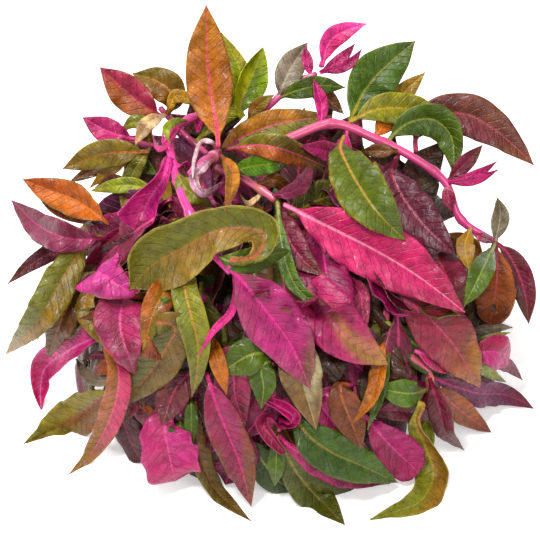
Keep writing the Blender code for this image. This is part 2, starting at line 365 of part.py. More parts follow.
class Pile:
    """How far toward the eye the pieces laid so far reach, on a grid of 1 mm cells, one layer a piece."""

    REACH = 140

    def __init__(self, side):
        self.side = side
        self.layers = {}

    def cells(self, places):
        return tuple(np.clip(np.rint(places[..., k]).astype(int) + self.REACH, 1, 2 * self.REACH - 1)
                     for k in (0, 1))

    def add(self, name, world):
        size = 2 * self.REACH + 1
        layer = self.layers.setdefault(name, np.full((size, size), -999.0))
        places = seen(from_world(world, self.side)).reshape(-1, 3)
        rows, columns = self.cells(places)
        for i in (-1, 0, 1):
            for j in (-1, 0, 1):
                np.maximum.at(layer, (rows + i, columns + j), places[:, 2])

    def top(self, without=()):
        kept = [layer for name, layer in self.layers.items() if name not in without]
        return np.maximum.reduce(kept) if kept else np.full((2 * self.REACH + 1,) * 2, -999.0)


def between(rows, steps):
    """The rows with steps - 1 more between each two, evenly spaced."""
    part = (np.arange(steps) / steps).reshape(1, steps, *[1] * (rows.ndim - 1))
    filled = rows[:-1, None] * (1 - part) + rows[1:, None] * part
    return np.concatenate((filled.reshape(-1, *rows.shape[1:]), rows[-1:]))


def lay_stem(sprig, piles):
    """Points along a stem in true lengths and its radius at each, raised to lie on what is there."""
    side, start, end, bearing, *places = STEMS[sprig]
    pile = piles[side]
    places = np.array(places, dtype=float)
    places[:, 2] += heap_depth(places[:, 0], places[:, 1])
    points = spread(places)
    if bearing is not None:
        turn = math.radians(bearing)
        trunk = np.array([(TRUNK_RING * math.cos(turn), TRUNK_RING * math.sin(turn), height)
                          for height in (TRUNK_FOOT, TRUNK_BEND)])
        points = np.vstack((from_world(trunk, side), points))
    length = np.linalg.norm(np.diff(points, axis=0), axis=1).sum()
    count = max(int(length / STEM_STEP), 4)
    stations = np.linspace(0, 1, count)
    points = smooth_path(points, stations)
    radius = (start + (end - start) * stations) / 2
    if bearing is None:
        ceiling = pile.top()
        for _ in range(STEM_ROUNDS):
            fine = seen(between(points, 4))
            thick = np.repeat(radius, 4)[:len(fine)]
            sides = fine[:, None] + thick[:, None, None] * np.array(((0, 0, 0), (1, 0, 0), (-1, 0, 0), (0, 1, 0),
                                                                     (0, -1, 0)))
            short = np.max(ceiling[pile.cells(sides)], axis=1) + thick + LEAF_GAP - fine[:, 2]
            extra = np.zeros(count)
            for i in np.flatnonzero(short > 0):
                for k in {i // 4, min(i // 4 + 1, count - 1)}:
                    extra[k] = max(extra[k], STEM_RISE_PART * short[i])
            points[:, 2] += extra
            points[1:-1, 2] = np.maximum(points[1:-1, 2], (points[:-2, 2] + points[2:, 2]) / 2)
    tube = between(points, 6)
    thick = np.interp(np.linspace(0, 1, len(tube)), stations, radius)[:, None, None]
    ball = unit(np.array([(i, j, k) for i in (-1, 0, 1) for j in (-1, 0, 1) for k in (-1, 0, 1)], dtype=float))
    for each in piles.values():
        each.add("stem_" + sprig, to_world(tube[:, None] + thick * ball, side))
    return points, radius


def half_widths(name, width, stations):
    """Half the blade's width along the leaf: a short stalk, widest near 0.4 of its length, then a point."""
    blade = np.clip((stations - STALK_PART) / (1 - STALK_PART), 0, 1)
    power = CONE_NARROWING if name in CONES else BLUNT_NARROWING if name in BLUNT else NARROWING
    shape = blade ** WIDENING * (1 - blade) ** power
    peak = WIDENING / (WIDENING + power)
    half = width / 2 * shape / (peak ** WIDENING * (1 - peak) ** power)
    half[:-1] = np.maximum(half[:-1], PETIOLE_HALF_WIDTH)
    half[-1] = 0
    return half


def ribs(places, half, roll, fold):
    """Left edge, midrib and right edge of a blade at each station, in true lengths."""
    centre = spread(places)
    along = unit(np.gradient(centre, axis=0))
    level = unit(np.column_stack((-along[:, 1], along[:, 0], np.zeros(len(along)))))
    across = np.cos(roll)[:, None] * level + np.sin(roll)[:, None] * np.array((0, 0, 1))
    across = unit(across - np.sum(across * along, axis=1, keepdims=True) * along)
    normal = np.cross(along, across)
    reach, rise = half[:, None] * math.cos(fold), half[:, None] * math.sin(fold)
    return np.stack((centre + reach * across + rise * normal, centre,
                     centre - reach * across + rise * normal), axis=1)


def slimmed(blade):
    """The blade with its thickness along the midrib as vectors, narrower and thinner where the midrib
    turns so sharply that the blade would cross itself."""
    centre = blade[:, 1]
    along = unit(np.gradient(centre, axis=0))
    across = blade[:, 0] - blade[:, 2]
    across[-1] = across[-2]
    offsets = [blade[:, 0] - centre, blade[:, 2] - centre, LEAF_THICKNESS * unit(np.cross(along, across))]
    chord = np.diff(centre, axis=0)
    for _ in range(SLIMMING_ROUNDS):
        for offset in offsets:
            advance = 1 + np.sum(np.diff(offset, axis=0) * chord, axis=1) / np.sum(chord * chord, axis=1)
            for i in np.flatnonzero(advance < LEAST_ADVANCE):
                offset[i:i + 2] *= SLIMMING
    left, right, body = offsets
    return np.stack((centre + left, centre, centre + right), axis=1), body


def across_blade(rows):
    """Points spread over a blade given by its left edge, midrib and right edge at each row."""
    part = np.linspace(0, 1, 5)[:, None]
    return np.concatenate([rows[:, i, None] * (1 - part) + rows[:, i + 1, None] * part for i in (0, 1)], axis=1)


def raise_to_clear(lack, steps, pinned):
    """Height to add at each station so that a blade, straight between stations, rises by at least lack."""
    count = (len(lack) - 1) // steps + 1
    part = np.arange(len(lack)) / steps
    lack = np.where(part < 0.5, -1, lack) if pinned else lack
    lift = np.zeros(count)
    for _ in range(BLADE_ROUNDS):
        short = lack - np.interp(part, np.arange(count), lift)
        if short.max() < 0.01:
            break
        extra = np.zeros(count)
        for i in np.flatnonzero(short > 0):
            k = min(int(part[i]), count - 2)
            for station, weight in ((k, k + 1 - part[i]), (k + 1, part[i] - k)):
                extra[station] = max(extra[station], short[i] * min(1, BLADE_RISE_FACTOR * weight))
        lift += extra
        if pinned:
            lift[0] = 0
        lift[1:-1] = np.maximum(lift[1:-1], (lift[:-2] + lift[2:]) / 2 - BLADE_KINK)
    return lift


def lay_leaf(row, piles, stem):
    """Ribs and thickness of a leaf that is laid on the pieces before it, from its joint on the stem."""
    name, sprig, _, width, roll_base, roll_tip, fold, lift_base, lift_tip, *places = row
    side = STEMS[sprig][0]
    pile = piles[side]
    own = name.startswith("leaf")
    stem_points = between(stem[0], 3)
    stem_radius = np.interp(np.arange(len(stem_points)) / 3, np.arange(len(stem[1])), stem[1])
    first = np.array((*places[0], heap_depth(*places[0]) + lift_base))
    mates = [mate for mate in pile.layers if mate == "stem_" + sprig or mate.startswith(sprig + "/")]
    spots = seen(stem_points)
    cover = pile.top(without=mates)[pile.cells(spots)] + JOINT_COVER - spots[:, 2]
    gaps = np.linalg.norm(stem_points - spread(first), axis=1)
    cost = gaps + COVERED_COST * np.maximum(cover, 0)
    nearest = int(np.argmin(cost))
    if side == BACK and cover[nearest] > FAR_COVER:
        return None
    joint = stem_points[nearest]
    if np.linalg.norm((joint - spread(first))[:2]) < JOINT_REACH and len(places) > 1:
        places = places[1:]
    if own:
        target = np.array((*places[0], heap_depth(*places[0]) + lift_base))
        leave = unit((spread(target) - joint) * (1, 1, JOINT_RISE_PART))
        if nearest < len(stem_points) - 1:
            course = unit(stem_points[nearest + 1] - stem_points[max(nearest - 1, 0)])
            leave = unit(leave - JOINT_SIDEWAYS * np.dot(leave, course) * course)
        joint = joint + leave * (stem_radius[nearest] + STEM_CLEARANCE)
    start = seen(joint)
    path = [tuple(start[:2])] + [tuple(place) for place in places]
    length = np.linalg.norm(np.diff(np.array(path), axis=0), axis=1).sum()
    if side == BACK or name.startswith("dark") or length * width < SMALL_AREA:
        stations = HIDDEN_STATIONS
    else:
        stations = LARGE_STATIONS if own or length * width > LARGE_AREA else SMALL_STATIONS
    middle = smooth_path(path, stations)
    depth = heap_depth(middle[:, 0], middle[:, 1]) + lift_base + (lift_tip - lift_base) * stations
    rise = np.clip(stations * length / PETIOLE_RISE, 0, 1)
    depth = start[2] + (depth - start[2]) * rise * rise * (3 - 2 * rise)
    depth = np.maximum(depth, floor_depth(middle[:, 1]))
    half = half_widths(name, width, stations)
    roll = np.radians(roll_base + (roll_tip - roll_base) * stations)
    blade = ribs(np.column_stack((middle, depth)), half, roll, math.radians(fold))
    under = across_blade(between(blade, BLADE_STEPS))
    places_under = seen(under)
    cells = pile.cells(places_under)
    mates = ["stem_" + sprig] if own else mates
    near = np.linalg.norm(under - joint, axis=-1) < stem_radius[nearest] + JOINT_ROOM
    ceiling = np.where(near, pile.top(without=mates)[cells], pile.top()[cells])
    lack = (ceiling + LEAF_GAP - places_under[..., 2]).max(axis=1)
    lift = raise_to_clear(lack, BLADE_STEPS, pinned=not own)
    left = lack - np.interp(np.arange(len(lack)) / BLADE_STEPS, np.arange(len(lift)), lift)
    if side == BACK and (lift.max() > FAR_LIFT or left.max() > LEAF_GAP):
        return None
    blade = seen(blade)
    blade[..., 2] += lift[:, None]
    blade, body = slimmed(spread(blade))
    over = blade.copy()
    over[:, 1] += body
    surface = np.concatenate((across_blade(between(over, 10)), across_blade(between(blade, 10))))
    for each in piles.values():
        each.add(name if own else sprig + "/" + name, to_world(surface, side))
    return blade, body, left.max()


def far_leaves():
    """Rows for the leaves on the far side: pairs along each stem there, laid from the floor upward."""
    chance = np.random.default_rng(FAR_SEED)
    rows = []
    for part in FAR_NODES:
        for sprig in (sprig for sprig, stem in STEMS.items() if stem[0] == BACK):
            places = np.array([place[:2] for place in STEMS[sprig][4:]], dtype=float)
            start, ahead = smooth_path(places, np.array((part - FAR_BACKSTEP, part)))
            course = math.atan2(*(ahead - start)[::-1])
            for hand in (-1, 1):
                turn = course + hand * math.radians(chance.uniform(*FAR_ANGLE))
                length, width = chance.uniform(*FAR_LENGTH), chance.uniform(*FAR_WIDTH)
                bend = turn - hand * math.radians(chance.uniform(*FAR_BEND))
                inner, outer = FAR_MIDDLE_PART * length, (1 - FAR_MIDDLE_PART) * length
                middle = start + inner * np.array((math.cos(turn), math.sin(turn)))
                tip = middle + outer * np.array((math.cos(bend), math.sin(bend)))
                rows.append(("far_%d" % len(rows), sprig, FAR_TINTS[chance.integers(len(FAR_TINTS))], width,
                             chance.uniform(*FAR_ROLL_BASE), chance.uniform(*FAR_ROLL_TIP), FAR_FOLD,
                             FAR_HEIGHT_BASE, FAR_HEIGHT_TIP if part < FAR_END_PART else FAR_HEIGHT_END,
                             tuple(start), tuple(middle), tuple(tip)))
    return rows


def lay_heap():
    """Every stem and leaf in its place: stems by sprig, and leaves by name."""
    piles = {side: Pile(side) for side in (FRONT, BACK)}
    stems = {}
    for sprig, row in STEMS.items():
        if row[3] is not None:
            stems[sprig] = lay_stem(sprig, piles)
    leaves = {}
    for row in (*LEAVES, *far_leaves()):
        if row[0] == "stem":
            stems[row[1]] = lay_stem(row[1], piles)
        else:
            leaves[row[0]] = row, lay_leaf(row, piles, stems[row[1]])
    return stems, {name: (row, leaf) for name, (row, leaf) in leaves.items() if leaf}


def to_scene(points, side):
    """World metres, with nothing below the floor."""
    world = to_world(points, side)
    world[..., 2] = np.maximum(world[..., 2], 0)
    return (world + (*MOUNT_SHIFT, 0)) * MM


def tinted(name, tint, roughness):
    """A plain plant tissue finish."""
    finish = bpy.data.materials.get(name) or bpy.data.materials.new(name)
    finish.use_nodes = True
    shader = finish.node_tree.nodes["Principled BSDF"]
    channels = [int(TINTS[tint][i:i + 2], 16) / 255 for i in (0, 2, 4)]
    linear = [c / 12.92 if c <= 0.04045 else ((c + 0.055) / 1.055) ** 2.4 for c in channels]
    shader.inputs["Base Color"].default_value = (*linear, 1)
    shader.inputs["Roughness"].default_value = roughness
    return finish


def link(name, mesh, finish, collection):
    piece = bpy.data.objects.new(name, mesh)
    piece.data.materials.clear()
    piece.data.materials.append(finish)
    collection.objects.link(piece)
    return piece


def stem_piece(sprig, stem, collection):
    """A stem as a tapering round tube with closed ends."""
    points, radius = stem
    places = (to_world(points, STEMS[sprig][0]) + (*MOUNT_SHIFT, 0)) * MM
    curve = bpy.data.curves.new("stem_" + sprig, "CURVE")
    curve.dimensions = "3D"
    curve.bevel_depth = MM
    curve.bevel_resolution = 1
    curve.use_fill_caps = True
    line = curve.splines.new("POLY")
    line.points.add(len(places) - 1)
    for point, place, thick in zip(line.points, places, radius):
        point.co = (*place, 1)
        point.radius = thick
    route = bpy.data.objects.new("route", curve)
    collection.objects.link(route)
    bpy.context.view_layer.update()
    mesh = bpy.data.meshes.new_from_object(route.evaluated_get(bpy.context.evaluated_depsgraph_get()))
    bpy.data.objects.remove(route)
    shell = bmesh.new()
    shell.from_mesh(mesh)
    bmesh.ops.remove_doubles(shell, verts=shell.verts, dist=0.00001)
    for vertex in shell.verts:
        vertex.co.z = max(vertex.co.z, 0)
    bmesh.ops.recalc_face_normals(shell, faces=shell.faces)
    for face in shell.faces:
        face.smooth = True
    shell.to_mesh(mesh)
    shell.free()
    return link("stem_" + sprig, mesh, tinted("stem_skin", "stem", 0.35), collection)


def leaf_piece(name, tint, side, leaf, collection):
    """A leaf as a closed blade: a grid wrapped round the midrib and drawn to a point at the tip."""
    blade, body, _ = leaf
    under = to_scene(blade, side)
    over = to_scene(blade[:, 1] + body, side)
    least = under[:, 1, 2] + FLOOR_BODY_PART * LEAF_THICKNESS * MM
    over[:, 2] = np.where(over[:, 2] <= MM, np.maximum(over[:, 2], least), over[:, 2])
    rows = len(under) - 1
    shell = bmesh.new()
    bmesh.ops.create_grid(shell, x_segments=4, y_segments=rows, size=1)
    spots = {}
    for vertex in shell.verts:
        column, row = round((vertex.co.x + 1) * 2), round((vertex.co.y + 1) / 2 * rows)
        ring = (under[row, 1], under[row, 0], over[row], under[row, 2], under[row, 1])
        vertex.co = ring[column] if row < rows else under[row, 1]
        spots[vertex] = column, row
    # both faces of the blade fold along the same lines, from the edge near the stem to the midrib near
    # the tip, so that they stay apart where the blade twists
    for face in list(shell.faces):
        base = min(spots[vertex][1] for vertex in face.verts)
        ends = [vertex for vertex in face.verts if (spots[vertex][0] + spots[vertex][1] - base) % 2]
        bmesh.utils.face_split(face, *ends)
    bmesh.ops.remove_doubles(shell, verts=shell.verts, dist=0.000001)
    bmesh.ops.holes_fill(shell, edges=shell.edges, sides=4)
    bmesh.ops.recalc_face_normals(shell, faces=shell.faces)
    mesh = bpy.data.meshes.new(name)
    shell.to_mesh(mesh)
    shell.free()
    return link(name, mesh, tinted("leaf_" + tint, tint, 0.4), collection)


def build():
    for piece in list(bpy.data.objects):
        bpy.data.objects.remove(piece)
    heap = bpy.data.collections.new("alternanthera_reineckii")
    joined = bpy.data.collections.new("leaves_joined_to_stems")
    for collection in (heap, joined):
        bpy.context.scene.collection.children.link(collection)
    stems, leaves = lay_heap()
    sprigs = {sprig: stem_piece(sprig, stem, heap) for sprig, stem in stems.items()}
    for name, (row, leaf) in leaves.items():
        sprig, tint = row[1:3]
        own = name.startswith("leaf")
        piece = leaf_piece(name, tint, STEMS[sprig][0], leaf, heap if own else joined)
        if not own:
            piece.hide_render = True
            piece.display_type = "WIRE"
            # the exact solver drops thin blades from these unions, and the manifold one keeps them
            union = sprigs[sprig].modifiers.new(name, "BOOLEAN")
            union.operation = "UNION"
            union.solver = "MANIFOLD"
            union.object = piece


build()
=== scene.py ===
import math

import bmesh
import bpy
import numpy as np
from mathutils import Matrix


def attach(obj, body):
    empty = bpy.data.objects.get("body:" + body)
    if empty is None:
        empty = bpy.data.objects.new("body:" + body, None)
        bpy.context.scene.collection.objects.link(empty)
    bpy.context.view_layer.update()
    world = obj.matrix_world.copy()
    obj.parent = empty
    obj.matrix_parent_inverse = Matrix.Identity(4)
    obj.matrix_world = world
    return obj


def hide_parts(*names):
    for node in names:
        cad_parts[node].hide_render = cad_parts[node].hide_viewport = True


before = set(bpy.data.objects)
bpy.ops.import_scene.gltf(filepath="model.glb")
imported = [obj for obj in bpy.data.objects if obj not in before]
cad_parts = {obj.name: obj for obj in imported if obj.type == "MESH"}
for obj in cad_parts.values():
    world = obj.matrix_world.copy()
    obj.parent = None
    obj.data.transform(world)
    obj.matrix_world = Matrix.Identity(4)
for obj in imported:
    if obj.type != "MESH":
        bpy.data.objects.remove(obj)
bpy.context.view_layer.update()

# The heap lies on a white card under soft light from all round. A wide softbox stands behind its left
# shoulder, a weaker one in front at the right, and a small one over the front makes the wax sparkle.
# The camera looks down at 40 degrees from 0.7 m through a long lens.
MM = 0.001
MOUNT_SHIFT = (0.0, -3.5)
HEAP_CENTRE_HEIGHT = 48.0
EYE_DISTANCE = 700.0
EYE_ELEVATION = math.radians(40)
LENS, SENSOR = 116.7, 36.0
TABLE_WHITE = "F4F4F2"
TABLE_REACH = 2.0
TABLE_ROUGHNESS, TABLE_GLOW = 0.6, 0.42
WHITE = (1, 1, 1, 1)
SKY_STRENGTH = 0.34
# Name, place and size in metres, and power in watts
SOFTBOXES = (("key", (-0.3, 0.2, 0.8), 0.4, 7.5), ("front", (0.35, -0.65, 0.65), 0.4, 2.6),
             ("spark", (-0.15, -0.35, 0.7), 0.09, 3.0))


def linear(hex_colour):
    """Linear red, green and blue of an sRGB hex colour."""
    channels = [int(hex_colour[i:i + 2], 16) / 255 for i in (0, 2, 4)]
    return [c / 12.92 if c <= 0.04045 else ((c + 0.055) / 1.055) ** 2.4 for c in channels]


def aim(thing, place, target):
    """Turns a light or camera at a place toward a target."""
    back = np.array(place) - np.array(target)
    flat = math.hypot(back[0], back[1])
    thing.location = place
    thing.rotation_euler = (math.atan2(flat, back[2]), 0, math.atan2(back[0], -back[1]))


def painted(name, values):
    """A new material with the given values on its shader, its node tree and the shader."""
    material = bpy.data.materials.new(name)
    material.use_nodes = True
    shader = material.node_tree.nodes["Principled BSDF"]
    for socket, value in values.items():
        shader.inputs[socket].default_value = value
    return material, material.node_tree, shader


heart = (MOUNT_SHIFT[0] * MM, MOUNT_SHIFT[1] * MM, HEAP_CENTRE_HEIGHT * MM)
eye = (heart[0], heart[1] - EYE_DISTANCE * MM * math.cos(EYE_ELEVATION),
       heart[2] + EYE_DISTANCE * MM * math.sin(EYE_ELEVATION))
camera = bpy.data.objects.new("camera", bpy.data.cameras.new("camera"))
camera.data.lens = LENS
camera.data.sensor_width = SENSOR
aim(camera, eye, heart)
bpy.context.scene.collection.objects.link(camera)
bpy.context.scene.camera = camera

for name, place, size, power in SOFTBOXES:
    box = bpy.data.objects.new("softbox_" + name, bpy.data.lights.new("softbox_" + name, "AREA"))
    box.data.size = size
    box.data.energy = power
    aim(box, place, heart)
    bpy.context.scene.collection.objects.link(box)

sky = bpy.data.worlds.new("white_tent")
bpy.context.scene.world = sky
sky.use_nodes = True
tent = sky.node_tree.nodes["Background"].inputs
tent["Color"].default_value = WHITE
tent["Strength"].default_value = SKY_STRENGTH
bpy.context.scene.view_settings.view_transform = "Standard"

surface = bmesh.new()
bmesh.ops.create_grid(surface, x_segments=1, y_segments=1, size=TABLE_REACH)
table_mesh = bpy.data.meshes.new("table")
surface.to_mesh(table_mesh)
surface.free()
table = bpy.data.objects.new("table", table_mesh)
table_paper, _, _ = painted("white_card", {
    "Base Color": (*linear(TABLE_WHITE), 1), "Roughness": TABLE_ROUGHNESS,
    "Emission Color": WHITE, "Emission Strength": TABLE_GLOW,
})
table_mesh.materials.append(table_paper)
bpy.context.scene.collection.objects.link(table)

# Where every stem and leaf lies. Stems stand in a ring and arch outward, and the leaves are laid on
# them one by one, each raised until it lies on what is there, like shingles. Places are given as the
# camera sees them: millimetres right and up across the sight line, then height above the heap's surface.
HEAP_WIDTH, HEAP_DEPTH, HEAP_HEIGHT = 188.0, 180.0, 92.0
EDGE_DEPTH = -8.0
LEAF_THICKNESS = 0.8
LEAF_GAP = 0.45
PETIOLE_HALF_WIDTH = 1.0
PETIOLE_RISE = 11.0
STEM_CLEARANCE = 1.2
JOINT_REACH = 5.0
TRUNK_RING, TRUNK_FOOT, TRUNK_BEND = 17.0, -1.0, 42.0
STEM_STEP = 14.0

SIN, COS = math.sin(EYE_ELEVATION), math.cos(EYE_ELEVATION)
FRONT, BACK = 1, -1

# Stems: sprig, side, thickness at start and end, bearing of the trunk in degrees or None for a shoot
# that lies on the heap, then places (right, up, height above the heap's mean surface)
STEMS = {
    "left": (FRONT, 4.0, 2.6, 169, (-46, 35, -14), (-58, 24, -12), (-66, 10, -11), (-69, -6, -11),
             (-69, -22, -11)),
    "lower_left": (FRONT, 4.0, 2.6, 200, (-26, 30, -20), (-40, 14, -18), (-49, -6, -16), (-56, -24, -14),
                   (-60, -40, -12), (-58, -52, -10)),
    "front_left": (FRONT, 4.2, 2.6, 232, (-14, 30, -22), (-20, 8, -20), (-22, -14, -18), (-26, -34, -15),
                   (-31, -50, -12), (-36, -60, -10)),
    "centre": (FRONT, 4.2, 2.6, 265, (1, 28, -22), (4, 4, -20), (3, -18, -18), (4, -38, -15),
               (5, -54, -12), (3, -66, -10)),
    "middle": (FRONT, 4.2, 2.6, 298, (16, 26, -22), (26, 2, -19), (30, -20, -17), (33, -40, -14),
               (36, -56, -12)),
    "lower_right": (FRONT, 4.4, 3.0, 330, (32, 24, -20), (42, 6, -16), (47.5, -10, -10), (46.5, -23, -8),
                    (50.5, -31.5, -7), (58, -35, -8), (64, -44, -9), (62, -58, -9)),
    "far_right": (FRONT, 4.0, 2.6, -2, (64, 18, -14), (73, 2, -12), (78, -16, -11), (79, -32, -10),
                  (74, -44, -9)),
    "upper_left": (FRONT, 3.6, 2.4, 132, (-24, 46, -14), (-34, 54, -8), (-40, 62, -4), (-45, 66, -3)),
    "left_upper": (FRONT, 3.6, 2.4, 149, (-33, 46, -14), (-43, 48, -9), (-52, 50, -7), (-59, 52, -6)),
    "top": (FRONT, 3.2, 2.4, None, (-9, 59, -3), (-1.5, 64.5, 0), (3, 69.5, 0), (7, 73, 0), (13, 75.5, 1),
            (20, 79, 2)),
    "right": (FRONT, 4.0, 3.0, None, (-2, 48, 0), (8, 52, 1), (15, 54.5, 2), (27, 58, 3), (40, 53, 4),
              (55, 46, 4), (66, 38.5, 3), (70, 35, 2), (68.5, 28.5, 2), (76, 20.5, 2), (82, 16.5, 2),
              (90, 11, 2)),
    "centre_upper": (FRONT, 3.4, 3.0, None, (-22, 41, -1), (-14, 38.5, 0), (-5, 33, 1), (3, 27.5, 1)),
    "front": (FRONT, 3.0, 3.8, None, (-28, 62, -1), (-34.5, 63.5, 0), (-38.5, 58.5, 1), (-38.5, 49, 1),
              (-37, 38, 2), (-32.5, 25, 2), (-26, 12, 1), (-20, 2.5, 1), (-14, -1.5, 1)),
    "crown": (FRONT, 4.0, 3.6, None, (-31, 35, 1), (-27, 39.5, 3), (-23.5, 43, 5), (-20.5, 47, 7)),
    "back_1": (BACK, 4.0, 2.6, 24, (-57, -10, -15), (-71, -24, -12), (-76, -38, -11), (-78, -46, -10)),
    "back_2": (BACK, 4.0, 2.6, 47, (-30, -12, -16), (-43, -26, -14), (-51, -42, -12), (-54, -58, -10)),
    "back_3": (BACK, 4.2, 2.6, 70, (-21, -18, -16), (-26, -42, -13), (-31, -60, -11), (-36, -72, -10)),
    "back_4": (BACK, 4.2, 2.6, 94, (6, -22, -16), (5, -46, -13), (2, -64, -11), (6, -76, -10)),
    "back_5": (BACK, 4.0, 2.6, 114, (30, -17, -16), (40, -36, -13), (42, -54, -11), (38, -68, -10)),
}

